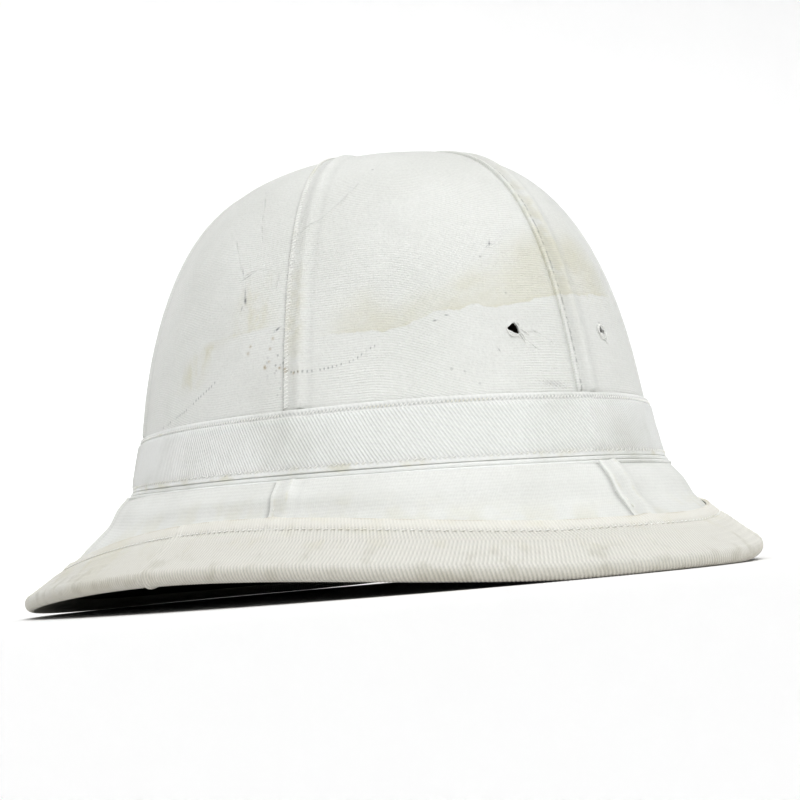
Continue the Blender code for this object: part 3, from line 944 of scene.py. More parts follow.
def brim_cloth():
    """Plain white cloth of the brim, a little soiled beside the binding, with painted shade and highlights by
    its seams
    """
    look = Look("brim_cloth", 0.82, 0.12)
    across, along, seam, edge, turn = map(look.read, ("across", "along", "seam", "edge", "turn"))
    bend = look.noise_on(across, along, 0.010, 2.0) * 0.0008
    weave = look.ribs(along + bend, BRIM_WEFT) * 0.5 + look.ribs(across + bend, BRIM_WARP) * 0.5
    weave = weave * 0.7 + (look.noise(0.0010, 2.0, 0.7) - 0.5) * 1.6
    mottle = look.noise(0.030, 4.0)
    patch = look.patches(0.008, 0.42, 0.66, 4.0)
    soil = look.below(edge, 0.001, 0.008) * patch * 0.30
    corner = look.bell(turn, 62.0, 22.0) * look.below(edge, 0.0, 0.016) * patch
    lines = look.bell(seam, STITCH_LINE, 0.0006) + look.bell(seam, RIDGE_LINE, 0.0006)
    stitched = lines * look.patches(0.006, 0.45, 0.6) * 0.4
    colour = look.blend(look.smooth(mottle, 0.35, 0.75) * 0.6, CLOTH, CLOTH_SHADE)
    colour = look.blend(look.capped(soil + corner + stitched) * 0.5, colour, SOIL)
    # painted shadow beside each seam's folded edge, and painted shade and highlights along the ridges
    shadow = look.bell(look.read("next"), 0.0, 0.0010) * 0.26
    colour = look.shade(colour, weave * 0.06 + 0.93 - shadow - seam_shade(look, seam, 0.03, 0.03))
    look.raise_by(weave, 0.00006)
    look.raise_by(mottle, 0.0003)
    return look.finish(colour)


def band_twill():
    """Bright twill of the hatband, whose ribs lean, with painted shade along its hem and its lower stitch
    line
    """
    look = Look("band_twill", 0.80, 0.12)
    across, rise = map(look.read, ("across", "rise"))
    lean = math.radians(TWILL_LEAN)
    drift = look.noise_on(across, rise * MM, 0.030, 2.0) * 0.0009
    diagonal = across * math.cos(lean) + rise * (MM * math.sin(lean)) + drift
    body = look.between(rise, 4.6, 5.2, 20.6, 21.2)
    twill = look.ribs(diagonal, TWILL_PITCH)
    fine = look.noise(0.0009, 2.0, 0.7)
    ticks = look.ribs(diagonal, TICK_PITCH)
    # the hem's ticks, darker between them as painted shade along the stitched hem
    hem_ticks_and_shade = look.bell(rise, 21.9, 0.70)
    hem = ticks * look.smooth(rise, 20.6, 21.0)
    mottle = look.noise(0.035, 4.0)
    soil = look.bell(rise, 4.0, 1.2) * look.patches(0.009, 0.48, 0.7, 3.0) * 0.35
    colour = look.blend(look.smooth(mottle, 0.4, 0.8), BAND, CLOTH_SHADE)
    colour = look.blend(soil, colour, SOIL)
    lit = twill * body * 0.15 + (fine - 0.5) * 0.10 + 0.86 + (1.0 - body) * 0.09 + 0.025
    # painted shade between the ticks in the groove of the lower stitch line
    foot = look.bell(rise, 4.6, 0.4) * (1.0 - ticks) * 0.12
    colour = look.shade(colour, lit - hem_ticks_and_shade * ((1.0 - ticks) * 0.20 + 0.05) - foot)
    look.raise_by(twill * body + hem * 0.5, 0.00016)
    look.raise_by(fine, 0.00006)
    return look.finish(colour)


# Turns in degrees of the rust mark and of the first of the tape's two joints
RUST_TURN = -124.0
JOINT_TURN = math.degrees(BINDING_JOINT)


def binding_tape():
    """Ribbed tape of the brim's edge, with grey wear, beige soil, one rust mark and painted shade on its
    underside
    """
    look = Look("binding_tape", 0.80, 0.10)
    turn, down, rib = map(look.read, ("turn", "down", "rib"))
    mottle = look.noise(0.020, 4.0)
    wear = look.patches(0.007, 0.50, 0.72, 4.0)
    nose = look.smooth(down, 0.011, 0.016)
    side = look.bell(turn, 62.0, 20.0) + look.bell(turn, -110.0, 26.0) * 0.6
    beige = look.capped(wear * 0.30 + side * look.smooth(mottle, 0.4, 0.65) * 0.8)
    # painted shade on the tape's underside, below the brim's edge
    under = look.smooth(down, 0.020, 0.024)
    rust = look.bell(turn, RUST_TURN, 2.6) * look.bell(down, 0.0150, 0.0045) * 0.9
    joints = look.bell(turn, JOINT_TURN, 0.16) + look.bell(turn, JOINT_TURN + 180.0, 0.16)
    colour = look.blend(beige * 0.40, TAPE, SOIL)
    colour = look.blend(nose * wear * 0.10 + look.bell(turn, -108.0, 22.0) * 0.07, colour, GREY)
    colour = look.blend(under * 0.20, colour, DARK_SOIL_AND_SHADE)
    speckle = look.patches(0.004, 0.30, 0.70, 4.0)
    colour = look.blend(rust * speckle, colour, RUST)
    line = look.bell(down, 0.0004, 0.0005) * look.patches(0.010, 0.42, 0.60, 3.0)
    colour = look.blend(line * 0.35, colour, DARK_SOIL_AND_SHADE)
    colour = look.shade(colour, rib * 0.26 + 0.78 + look.noise(0.0008, 2.0) * 0.04 - joints * 0.30)
    look.raise_by(look.noise(0.0008, 2.0, 0.7) + look.ribs(down, 0.0005) * 0.3, 0.00005)
    look.raise_by(rib, 0.00014)
    return look.finish(colour)


def plain_thread():
    """Sewing thread, a little brighter than the cloth"""
    look = Look("sewing_thread", 0.65, 0.15)
    tone = look.noise(0.012, 3.0)
    strands = look.noise(0.0003, 1.0)
    colour = look.blend(look.smooth(tone, 0.5, 0.8) * 0.5, THREAD, SOIL)
    look.raise_by(strands, 0.00003)
    return look.finish(colour)


def lining_cloth():
    """Near-black green cloth under the brim, with fine grain and light rubbed places"""
    look = Look("lining_cloth", 0.62, 0.10)
    rubbed = look.patches(0.03, 0.50, 0.78, 4.0, 0.6)
    fine = look.noise(0.0008, 2.0, 0.7)
    colour = look.blend(rubbed * 0.7 + fine * 0.1, LINING, LINING_LIGHT)
    look.raise_by(fine, 0.00006)
    look.raise_by(look.noise(0.012, 3.0), 0.0004)
    return look.finish(colour)


def band_leather():
    """Dark brown leather with fine creases, paler where it is worn"""
    look = Look("band_leather", 0.52)
    worn = look.patches(0.014, 0.50, 0.74, 4.0, 0.6)
    grain = look.smooth(look.cells(LEATHER_PORES, "DISTANCE_TO_EDGE"), 0.0, 0.22)
    colour = look.blend(worn * 0.8, LEATHER, LEATHER_LIGHT)
    look.raise_by(grain, 0.00008)
    look.raise_by(look.noise(0.008, 3.0), 0.0004)
    return look.finish(colour)


def bare_pith():
    """Pale brown pith with a fine crumb, painted darker as shade inside the crown and its holes"""
    look = Look("bare_pith", 0.92)
    crumb = look.noise(0.0016, 4.0, 0.7)
    layers = look.noise(0.010, 3.0, stretch=(1.0, 1.0, 4.0))
    colour = look.blend(look.smooth(layers, 0.3, 0.7), SHADED_PITH, SHADED_PITH_LAYER)
    colour = look.shade(colour, crumb * 0.3 + 0.75)
    look.raise_by(crumb, 0.0003)
    return look.finish(colour)


def pale_floor():
    """Even pale floor"""
    return Look("pale_floor", 0.9).finish(FLOOR)


def panel_columns(seam, climb, shares):
    """Angles across one panel at a climb, with each column's distance from the folded edge"""
    scale_at_seam = metric(seam, climb)
    arc = PANEL_ANGLE * scale_at_seam
    laps = np.array(LAP_COLUMNS) * MM
    squeeze = np.minimum(1.0, LAP_MOST * arc / laps[-1])
    lap_angles = seam + (GAP / 2 + laps * squeeze) / scale_at_seam
    end = seam + PANEL_ANGLE
    end = end + np.minimum(LAP_UNDER / metric(end, climb), LAP_UNDER_MOST)
    rest_angles = lap_angles[-1] + (end - lap_angles[-1]) * shares
    angles = np.concatenate((lap_angles, rest_angles))
    distances = np.concatenate((laps, laps[-1] + (rest_angles - lap_angles[-1]) * scale_at_seam))
    return angles, distances


def crown_rows(holes):
    """Climbs of the rows, from the foot to just short of the tip, closer together round a hole"""
    low = run_at(climb_at(np.linspace(FOLD_FOOT, HATBAND_HEIGHT - LAP_FADE, CROWN_LOW_ROWS)))
    start = run_at(climb_at(HATBAND_HEIGHT))
    steps = int((RUNS[-1] - start) / CROWN_ROW_STEP)
    runs = np.concatenate((low, np.linspace(start, RUNS[-1] - GAP, steps)))
    for hole in holes:
        runs = with_dense(runs, run_at(climb_at(hole[2] * MM)), HOLE_REACH, HOLE_STEP)
    return climb_at_run(runs)


def crown_shares(seam, holes):
    """Shares of the plain columns across a panel, closer together round a hole"""
    shares = np.linspace(0.0, 1.0, CROWN_COLUMNS + 1)[1:]
    for hole in holes:
        climb = climb_at(hole[2] * MM)
        angles = panel_columns(seam, climb, shares)[0]
        first, last = angles[len(LAP_COLUMNS) - 1], angles[-1]
        turn = hole_turn(hole, angles)
        width = (last - first) * metric(turn, climb)
        shares = with_dense(shares, (turn - first) / (last - first), HOLE_REACH / width, HOLE_STEP / width)
    return shares


def panel_turn(angles, index):
    """Angles in degrees from the front, from -180 to 180, the same way round over a whole panel"""
    return np.degrees(angles) - (360.0 if index >= PANELS // 2 else 0.0)


def make_crown_panel(index, material):
    """One cloth panel of the crown, with the ridge of its lapped seam up to the tip"""
    seam = PANEL_ANGLE * index
    holes = [hole for hole in HOLES if hole[0] == index]
    climbs = crown_rows(holes)
    shares = crown_shares(seam, holes)
    columns = [panel_columns(seam, climb, shares) for climb in climbs]
    angles = np.stack([c[0] for c in columns], axis=1)
    distances = np.stack([c[1] for c in columns], axis=1)
    climbs = np.broadcast_to(climbs, angles.shape)
    keep, lift = None, 0.0
    for hole in holes:
        keep, angles, climbs, gap, around = cut_hole(hole, angles, climbs)
        curl = 0.55 + 0.45 * np.sin(3 * around + 1.0)
        lift = CURL_HEIGHT * curl * bell(gap, 0.0, CURL_WIDTH)
    heights = height_at(climbs)
    runs = run_at(climbs)
    shown = smooth_step(heights, HATBAND_HEIGHT, HATBAND_HEIGHT + LAP_FADE)
    next_seam = (seam + PANEL_ANGLE - angles) * metric(angles, climbs)
    tuck = LAP_TUCK * (1.0 - smooth_step(next_seam, 0.0, LAP_TUCK_WIDTH))
    groove = STITCH_GROOVE if index == 0 else SOFT_GROOVE
    relief = lap_relief(distances, groove) + gentle_wave(angles, runs)
    out = COVER_OUT + shown * (relief - tuck) + lift
    outer = crown_point(angles, climbs, out)
    inner = crown_point(angles, climbs, GAP + lift)
    values = {
        "across": (angles - seam) * metric(angles, climbs),
        "along": runs,
        "turn": panel_turn(angles, index),
        "rise": heights / MM,
        "seam": distances,
        "next": next_seam,
    }
    item = add_wall(f"crown_cover_{index + 1}", outer, inner, material, values, keep=keep)
    return finish_piece(item, "cover_cloth", f"crown_panel_{index + 1}")


def brim_shares(angle):
    """Shares of the brim's width at the cover's start and at the binding's two edges"""
    reach = brim_reach(angle)
    return COVER_START / reach, 1.0 - BINDING_TOP / reach, 1.0 - BINDING_UNDER / reach


def make_brim_panel(index, material):
    """One cloth panel of the brim, whose ridge carries on from the crown's"""
    seam = PANEL_ANGLE * index
    angles, distances = panel_columns(seam, 0.0, np.linspace(0.0, 1.0, BRIM_COLUMNS)[1:])
    angles, distances = angles[:, None], distances[:, None]
    reach = brim_reach(angles)
    binding = brim_shares(angles)[1]
    start = BRIM_COVER_START / reach
    shown = start + (binding - start) * np.linspace(0.0, 1.0, BRIM_ROWS)
    hidden = binding + (1.0 - binding) * np.linspace(0.0, 1.0, HIDDEN_ROWS)[1:]
    shares = np.concatenate((shown, hidden), axis=1)
    run = shares * reach
    to_binding = (binding - shares) * reach
    fade = smooth_step(to_binding, *BRIM_FADE)
    cove = COVE_HEIGHT * (1.0 - smooth_step(run, COVE_NEAR, COVE_FAR))
    relief = lap_relief(distances) + gentle_wave(angles, run + BRIM_WAVE_START) + cove
    outer = brim_point(angles, shares, COVER_OUT + fade * relief)
    inner = brim_point(angles, shares, GAP)
    values = {
        "across": (angles - seam) * (metric(angles, 0.0) + run),
        "along": run,
        "seam": distances,
        "edge": to_binding,
        "next": (seam + PANEL_ANGLE - angles) * metric(angles, 0.0),
        "turn": panel_turn(angles, index),
    }
    item = add_wall(f"brim_cover_{index + 1}", outer, inner, material, values)
    return finish_piece(item, "cover_cloth", f"brim_panel_{index + 1}")


def ring_columns(count):
    """Even angles round the helmet from the back, and the lengths round with one more for the wrap"""
    angles = math.pi + 2 * math.pi * np.arange(count) / count
    around = np.linspace(math.pi, 3 * math.pi, count + 1)
    steps = metric((around[1:] + around[:-1]) / 2, 0.0) * np.diff(around)
    return angles, np.concatenate(([0.0], np.cumsum(steps)))


# Angle from a seam's folded edge to the middle of its ridge, at the foot of the crown
RIDGE_ANGLE = 0.03


def seam_bump(angles, width):
    """1 over each seam's ridge, falling off within a width in radians"""
    off = (angles - RIDGE_ANGLE + PANEL_ANGLE / 2) % PANEL_ANGLE - PANEL_ANGLE / 2
    return bell(off, 0.0, width)


def make_ring(name, material, node, profile, count, moved):
    """Cloth ring round the crown from a table of heights and distances out, in mm above its inner face"""
    angles, lengths = ring_columns(count)
    angles = angles[:, None]
    heights, outs = np.array(profile).T * MM
    heights, outs = moved(angles, heights, BAND_IN + outs)
    heights = np.broadcast_to(heights, outs.shape)
    outer = crown_point(angles, climb_at(heights), outs)
    inner = crown_point(angles, climb_at(heights), BAND_IN)
    values = {"across": lengths[:, None], "rise": wrapped(heights) / MM}
    item = add_wall(name, outer, inner, material, values, ring=True)
    return finish_piece(item, "hatband_cloth", node)


# Hatband's section from its foot to its top: height and distance out, in mm
BAND_PROFILE = (
    (3.22, 0.45), (3.25, 0.95), (3.40, 1.18), (3.80, 1.26), (4.30, 1.22), (4.60, 1.12), (4.90, 1.16),
    (5.40, 1.30), (8.00, 1.36), (12.0, 1.40), (16.0, 1.38), (19.5, 1.34), (20.6, 1.30), (20.9, 1.12),
    (21.1, 0.80), (21.3, 0.72), (21.8, 0.80), (22.4, 0.82), (22.9, 0.80), (23.2, 0.68), (23.4, 0.45),
)
UPPER_FOLD_PROFILE = (
    (1.72, 0.60), (1.75, 1.30), (1.95, 1.60), (2.45, 1.70), (2.90, 1.58), (3.11, 1.25), (3.14, 0.60),
)
LOWER_FOLD_PROFILE = (
    (0.42, 0.80), (0.45, 1.80), (0.60, 2.20), (1.00, 2.40), (1.40, 2.25), (1.60, 1.85), (1.64, 0.80),
)


# Unevenness of the hatband in metres: how far its hem wanders up and down, how far it bulges over each
# seam and in between, and the heights between which each of them sets in
HEM_DRIFT = 0.00022
HEM_START = (0.0180, 0.0205)
SEAM_BULGE = 0.00045
SEAM_BULGE_ANGLE = 0.030
SEAM_BULGE_START = (0.0040, 0.0060)
SLOW_BULGE = 0.00016
SLOW_BULGE_START = (0.0050, 0.0090)


def shape_band(angles, heights, outs):
    """The hatband bulges a little over each seam, and its hem wanders"""
    hem = smooth_step(heights, *HEM_START)
    drift = HEM_DRIFT * np.sin(4 * angles + 0.7) * np.sin(3 * angles) * hem
    bulge = SEAM_BULGE * seam_bump(angles, SEAM_BULGE_ANGLE) * smooth_step(heights, *SEAM_BULGE_START)
    slow = SLOW_BULGE * np.sin(6 * angles + 1.1) * smooth_step(heights, *SLOW_BULGE_START) * (1.0 - hem)
    return heights + drift, outs + bulge + slow


def shape_fold(angles, heights, outs):
    """A fold stands out further at some places than at others"""
    swell = 0.75 + 0.30 * np.sin(2 * angles + 0.5) + 0.12 * np.sin(9 * angles)
    return heights, BAND_IN + (outs - BAND_IN) * np.clip(swell, 0.5, 1.25)


# Binding: pitch and lean of its ribs, place of its stitches from its upper edge, and its small heights
TAPE_RIB = 0.00118
TAPE_LEAN = -0.25
TAPE_STITCH = 0.0036
TAPE_SUNK = 0.00018
TAPE_PUFF = 0.00055
TAPE_EDGE = 0.0005
TAPE_GROOVE = 0.00055
TAPE_PUFF_END = 0.0065
NOSE_PUFF_END = 0.35
RIB_HEIGHT = 0.00024
RIB_LEAST = 0.45
RIB_START = (0.0030, 0.0050)
BUMP_HEIGHT = 0.0005
BUMP_ANGLE = 0.022
BUMP_AT = 0.002
BUMP_WIDTH = 0.004

# Rows of points on the binding's upper side, in mm from its upper edge, and counts of the further rows
TAPE_ROWS = (0.0, 0.15, 0.5, 1.2, 2.2, 3.0, 3.6, 4.2, 5.0, 6.0)
TAPE_LAST_ROWS = (0.0072, BINDING_TOP, 5)
NOSE_ROWS = 11
UNDER_ROWS = 3

# Ends of the binding's two lengths: a roll at a distance from the end, with a drop beyond it, or a tuck
ROLL_HEIGHT = 0.0006
ROLL_AT = 0.0016
ROLL_WIDTH = 0.0018
ROLL_DROP = 0.0005
ROLL_EDGE = 0.0009
ROLL_START = 0.0020
TUCK_DEPTH = 0.0004
TUCK_LENGTH = 0.0030


def tape_top(distance):
    """Height of the binding's outer face above its own inner face, at a distance from its upper edge"""
    edge = 0.45 + 0.55 * np.sqrt(1.0 - (1.0 - np.clip(distance / TAPE_EDGE, 0.0, 1.0)) ** 2)
    sunk = TAPE_SUNK * bell(distance, TAPE_STITCH, TAPE_GROOVE)
    puff = TAPE_PUFF * smooth_step(distance, TAPE_STITCH, TAPE_PUFF_END)
    return BINDING_THICKNESS * edge - sunk + puff


def binding_sections(angles):
    """Outer and inner faces of the binding, over, round and under the brim's edge, for many angles"""
    away, normal = outward(angles), brim_normal(angles, 1.0)
    top_turn = np.arctan2(normal[:, 2], (normal * away).sum(-1))[:, None]
    angles, away = angles[:, None], away[:, None]
    binding, under = brim_shares(angles)[1:]
    on_top = np.concatenate((np.array(TAPE_ROWS) * MM, np.linspace(*TAPE_LAST_ROWS)))
    shares = np.minimum(binding + on_top / brim_reach(angles), 1.0)
    top_out = brim_point(angles, shares, NOSE_IN + tape_top(on_top))
    top_in = brim_point(angles, shares, NOSE_IN)
    shares_round = np.linspace(0.0, 1.0, NOSE_ROWS)[1:-1]
    turns = (top_turn - math.pi * shares_round)[..., None]
    rays = np.cos(turns) * away + np.sin(turns) * np.array((0.0, 0.0, 1.0))
    puff = TAPE_PUFF * (1.0 - smooth_step(shares_round, 0.0, NOSE_PUFF_END))
    nose_out = brim_face(angles, 1.0) + rays * (NOSE_OUT + puff)[:, None]
    nose_in = brim_face(angles, 1.0) + rays * NOSE_IN
    low_shares = under + (1.0 - under) * np.linspace(1.0, 0.0, UNDER_ROWS)
    low_in = brim_point(angles, low_shares, -brim_wall(low_shares) - GAP)
    low_out = brim_point(angles, low_shares, -brim_wall(low_shares) - GAP - BINDING_THICKNESS)
    nose_out[..., 2] = np.maximum(nose_out[..., 2], 0.0)
    outer = np.concatenate((top_out, nose_out, low_out), axis=1)
    return outer, np.concatenate((top_in, nose_in, low_in), axis=1)


def end_height(from_end, rolled):
    """Height of a rolled or a tucked-in end of the binding"""
    if rolled:
        drop = ROLL_DROP * (1.0 - smooth_step(from_end, 0.0, ROLL_EDGE))
        return ROLL_HEIGHT * bell(from_end, ROLL_AT, ROLL_WIDTH) - drop
    return -TUCK_DEPTH * (1.0 - smooth_step(from_end, 0.0, TUCK_LENGTH))


def make_binding(name, start, end, rolled, material, node):
    """One length of the ribbed tape over the brim's edge, with its two ends rolled or tucked in"""
    sample = np.linspace(start, end, SAMPLES)
    lengths = lengths_along(brim_face(sample, 1.0))
    ribs = int(lengths[-1] / TAPE_RIB)
    even = np.linspace(GAP / 2, lengths[-1] - GAP / 2, ribs * 4 + 1)
    angles = np.interp(even, lengths, sample)
    outer, inner = binding_sections(angles)
    even, angles = even[:, None], angles[:, None]
    steps = np.linalg.norm(np.diff(outer, axis=1), axis=-1)
    down = np.cumsum(np.pad(steps, ((0, 0), (1, 0))), axis=1)
    lean = TAPE_LEAN * (down - TAPE_STITCH)
    rib = 0.5 + 0.5 * np.cos(2 * math.pi * (even + lean) / (lengths[-1] / ribs))
    strength = RIB_LEAST + (1.0 - RIB_LEAST) * smooth_step(down, *RIB_START)
    roll = end_height(np.minimum(even, lengths[-1] - even), rolled)
    roll = roll * smooth_step(down, 0.0, ROLL_START)
    bump = BUMP_HEIGHT * seam_bump(angles, BUMP_ANGLE) * bell(down, BUMP_AT, BUMP_WIDTH)
    normals = unit(np.cross(np.gradient(outer, axis=0), np.gradient(outer, axis=1)))
    normals = normals * np.sign((normals * (outer - inner)).sum(-1).mean())
    lifted = outer + normals * (RIB_HEIGHT * (rib - 1.0) * strength + roll + bump)[..., None]
    lifted[..., 2] = np.maximum(lifted[..., 2], 0.0)
    values = {
        "down": down,
        "rib": 1.0 - (1.0 - rib) * strength,
        "turn": (np.degrees(angles) + 180.0) % 360.0 - 180.0,
    }
    item = add_wall(name, lifted, inner, material, values)
    return finish_piece(item, "binding_tape", node)


LINING_WAVE = 0.00018


def make_lining(material):
    """Dark cloth under the brim, smooth, with its outer edge inside the binding"""
    angles = ring_columns(RING_COLUMNS)[0][:, None]
    start, under = brim_shares(angles)[::2]
    steps = np.linspace(0.0, 1.0, LINING_ROWS)
    shares = start + (under - GAP / brim_reach(angles) - start) * steps
    wave = LINING_WAVE * np.sin(11 * angles + 40 * shares) * np.sin(math.pi * steps)
    upper = brim_sheet(angles, shares, -PITH_WALL - GAP, -brim_wall(shares) - GAP)
    below = GAP + LINING_THICKNESS
    lower = brim_sheet(angles, shares, -PITH_WALL - below, -brim_wall(shares) - below + wave)
    item = add_wall("brim_lining_cloth", upper, lower, material, {}, ring=True)
    return finish_piece(item, "lining_cloth", "brim_lining")


def make_pith_crown(material):
    """Smooth pith crown under the cloth, with the two holes"""
    angles = math.pi + 2 * math.pi * np.arange(PITH_COLUMNS) / PITH_COLUMNS
    low = run_at(climb_at(np.linspace(*PITH_FOOT_ROWS)))
    runs = np.concatenate((low, np.linspace(low[-1] + PITH_ROW_GAP, RUNS[-1] - GAP, PITH_ROWS)))
    for hole in HOLES:
        turn = hole_turn(hole, angles)
        width = metric(turn, climb_at(hole[2] * MM))
        angles = with_dense(angles, turn, HOLE_REACH / width, 2 * HOLE_STEP / width)
    runs = with_dense(runs, run_at(climb_at(HOLES[0][2] * MM)), HOLE_REACH, 2 * HOLE_STEP)
    angles, climbs = np.meshgrid(angles, climb_at_run(runs), indexing="ij")
    keep = np.ones((angles.shape[0], angles.shape[1] - 1), dtype=bool)
    for hole in HOLES:
        kept, angles, climbs = cut_hole(hole, angles, climbs, PITH_HOLE_SHARE)[:3]
        keep[:-1] &= kept
    outer = crown_point(angles, climbs, 0.0)
    inner = crown_point(angles, climbs, -PITH_WALL)
    item = add_wall("pith_crown_body", outer, inner, material, {}, ring=True, keep=keep)
    return finish_piece(item, "pith", "pith_crown")


def make_pith_brim(material):
    """Smooth pith brim under the cloth"""
    angles = ring_columns(PITH_COLUMNS)[0][:, None]
    shares = np.linspace(*PITH_BRIM_ROWS)
    outer = brim_sheet(angles, shares, 0.0, 0.0)
    inner = brim_sheet(angles, shares, -PITH_WALL, -brim_wall(shares))
    item = add_wall("pith_brim_body", outer, inner, material, {}, ring=True)
    return finish_piece(item, "pith", "pith_brim")


def add_tubes(name, centres, thick, along, normals, sides, material):
    """Closed tubes in one mesh, from the middles and half thicknesses of their sections and two directions"""
    count, sections = centres.shape[:2]
    side = unit(np.cross(normals, along))
    up = np.cross(along, side)
    turns = (2 * math.pi * np.arange(sides) / sides)[:, None]
    ring = np.cos(turns) * side[:, :, None] + np.sin(turns) * up[:, :, None]
    points = centres[:, :, None] + np.broadcast_to(thick, (count, sections))[..., None, None] * ring
    corners = np.arange(sides)
    first = np.arange(sections - 1)[:, None] * sides + corners
    second = np.arange(sections - 1)[:, None] * sides + np.roll(corners, -1)
    walls = np.stack((first, second, second + sides, first + sides), axis=-1).reshape(-1, 4)
    ends = np.stack((corners[::-1], corners + (sections - 1) * sides))
    faces = []
    for base in range(0, count * sections * sides, sections * sides):
        faces.extend((walls + base).tolist() + (ends + base).tolist())
    return add_faces(name, points.reshape(-1, 3).tolist(), faces, material)


# Loose threads round the holes: hole, start and end direction in degrees, start and end distance from
# the middle in mm, and how far the thread stands up in mm
THREADS = (
    (0, 160, 325, 2.0, 2.5, 0.25),
    (0, 215, 290, 2.2, 2.0, 0.35),
    (0, -5, -25, 2.0, 5.6, 0.12),
    (0, 330, 316, 2.7, 4.6, 0.12),
    (0, 318, 304, 2.6, 6.0, 0.10),
    (0, 292, 306, 2.0, 3.8, 0.15),
    (0, 60, -20, 2.3, 2.2, 0.25),
    (1, 20, 150, 1.5, 2.1, 0.40),
    (1, 140, 300, 2.3, 2.1, 0.30),
    (1, 285, 400, 2.2, 1.6, 0.35),
    (1, 130, 250, 2.0, 1.9, 0.45),
    (1, 285, 300, 2.1, 4.2, 0.10),
    (1, 190, 350, 1.1, 1.0, 0.05),
    (1, 200, 345, 1.3, 1.5, 0.10),
)
THREAD_RADIUS = 0.00013
THREAD_LIFT = 0.00016
THREAD_POINTS = 14
THREAD_SIDES = 6


def make_threads(material):
    """Frayed threads round the two holes, thinner at their ends"""
    share = np.linspace(0.0, 1.0, THREAD_POINTS)
    arch = np.sin(math.pi * share)
    paths, normals = [], []
    for which, start, end, near, far, stand_up in THREADS:
        turn, middle = math.radians(HOLES[which][1]), climb_at(HOLES[which][2] * MM)
        around = np.radians(start + (end - start) * share)
        off = (near + (far - near) * share + 0.12 * np.sin(9 * share + start) * arch) * MM
        angles = turn + off * np.cos(around) / metric(turn, middle)
        climbs = climb_at_run(run_at(middle) + off * np.sin(around) * 1.15)
        lift = stand_up * MM * np.abs(arch) ** 0.7
        paths.append(crown_point(angles, climbs, COVER_OUT + THREAD_LIFT + lift))
        normals.append(tip_forward(crown_normal(turn, middle)))
    paths, normals = np.stack(paths), np.stack(normals)[:, None]
    ends = smooth_step(share, 0.0, 0.15) * (1.0 - smooth_step(share, 0.7, 1.0))
    thick = THREAD_RADIUS * (0.35 + 0.65 * ends)
    along = unit(np.gradient(paths, axis=1))
    item = add_tubes("hole_threads", paths, thick, along, normals, THREAD_SIDES, material)
    return finish_piece(item, "cover_cloth")


# Sweatband's section from its foot to its top: height and thickness in mm, with a rounded lower edge
SWEATBAND_PROFILE = (
    (0.1, 1.40), (0.4, 2.00), (1.0, 2.35), (1.8, 2.40), (2.6, 2.20), (3.2, 1.70), (4.0, 1.45), (5.0, 1.50),
    (8.0, 1.50), (12.0, 1.50), (16.0, 1.50), (20.0, 1.50), (24.0, 1.50), (28.0, 1.45), (31.0, 1.40),
    (32.0, 1.20),
)
SWEATBAND_COLUMNS = 420
SWEATBAND_WAVE = 0.0005
SWEATBAND_WAVE_START = (0.0060, 0.0260)


def make_sweatband(material):
    """Leather band inside the head opening, open at the back"""
    split = SWEATBAND_SPLIT / 2 / half_size(0.0, CROWN_WIDTH)
    angles = np.linspace(math.pi + split, 3 * math.pi - split, SWEATBAND_COLUMNS)[:, None]
    heights, thick = np.array(SWEATBAND_PROFILE).T * MM
    away = PITH_WALL + GAP + SWEATBAND_LEAN * heights / SWEATBAND_HEIGHT
    wave = SWEATBAND_WAVE * np.sin(9 * angles) * np.sin(4 * angles + 1.0)
    wave = wave * smooth_step(heights, *SWEATBAND_WAVE_START)
    outer = crown_point(angles, climb_at(heights), -away)
    inner = crown_point(angles, climb_at(heights), -away - thick - np.abs(wave))
    item = add_wall("leather_sweatband", outer, inner, material, {})
    return finish_piece(item, "leather", "sweatband")


# Stitches are short capsules: shares of their length and of their thickness along them
STITCH_SECTIONS = ((-0.50, 0.35), (-0.30, 0.95), (0.30, 0.95), (0.50, 0.35))
STITCH_SIDES = 5
STITCH_RADII = {
    "crown_seam_stitches": 0.00020,
    "hatband_stitches": 0.00017,
    "brim_seam_stitches": 0.00014,
    "binding_stitches": 0.00019,
    "sweatband_stitches": 0.00022,
}

# Stitches over the crown's seams: pitch, rise, the distances of their two ends from the folded edge and
# their lifts above the cloth, and how far they keep off the hatband and the tip
CROWN_STITCH_PITCH = 0.0012
CROWN_STITCH_RISE = 0.0007
CROWN_STITCH_NEAR = 0.0003
CROWN_STITCH_FAR = 0.0019
CROWN_STITCH_LIFTS = (0.00006, 0.00002)
CROWN_STITCH_START = 0.0006
CROWN_STITCH_STOP = 0.0060

# Rows of stitches on the hatband: pitch, height, rise and length of a stitch, and distance out
HATBAND_STITCH_ROWS = (
    (0.0012, 0.0215, 0.0008, 0.0006, 0.00085),
    (0.0022, 0.0044, 0.0008, 0.0011, 0.00129),
)

# Stitches of the binding: pitch, length, start, slant towards the upper edge, and lift
BINDING_STITCH_PITCH = 0.0026
BINDING_STITCH = 0.0017
BINDING_STITCH_START = 0.0020
BINDING_STITCH_SLANT = 0.0004
BINDING_STITCH_LIFT = 0.00008

# Stitches of the brim's seams: pitch, length, distances from the crown and from the binding, and lift
BRIM_STITCH_PITCH = 0.0022
BRIM_STITCH = 0.0013
BRIM_STITCH_START = 0.0030
BRIM_STITCH_STOP = 0.0020
BRIM_STITCH_LIFT = 0.00004

# Stitches of the sweatband: count, heights of their ends and middle, distance inwards, and angles in
# radians of the bare ends beside the split and from one end of a stitch to the other
LEATHER_STITCHES = 250
LEATHER_STITCH_FOOT = 0.0002
LEATHER_STITCH_MIDDLE = 0.0020
LEATHER_STITCH_TOP = 0.0034
LEATHER_STITCH_OUT = 0.0021
LEATHER_STITCH_BARE = 0.02
LEATHER_STITCH_SLANT = 0.006


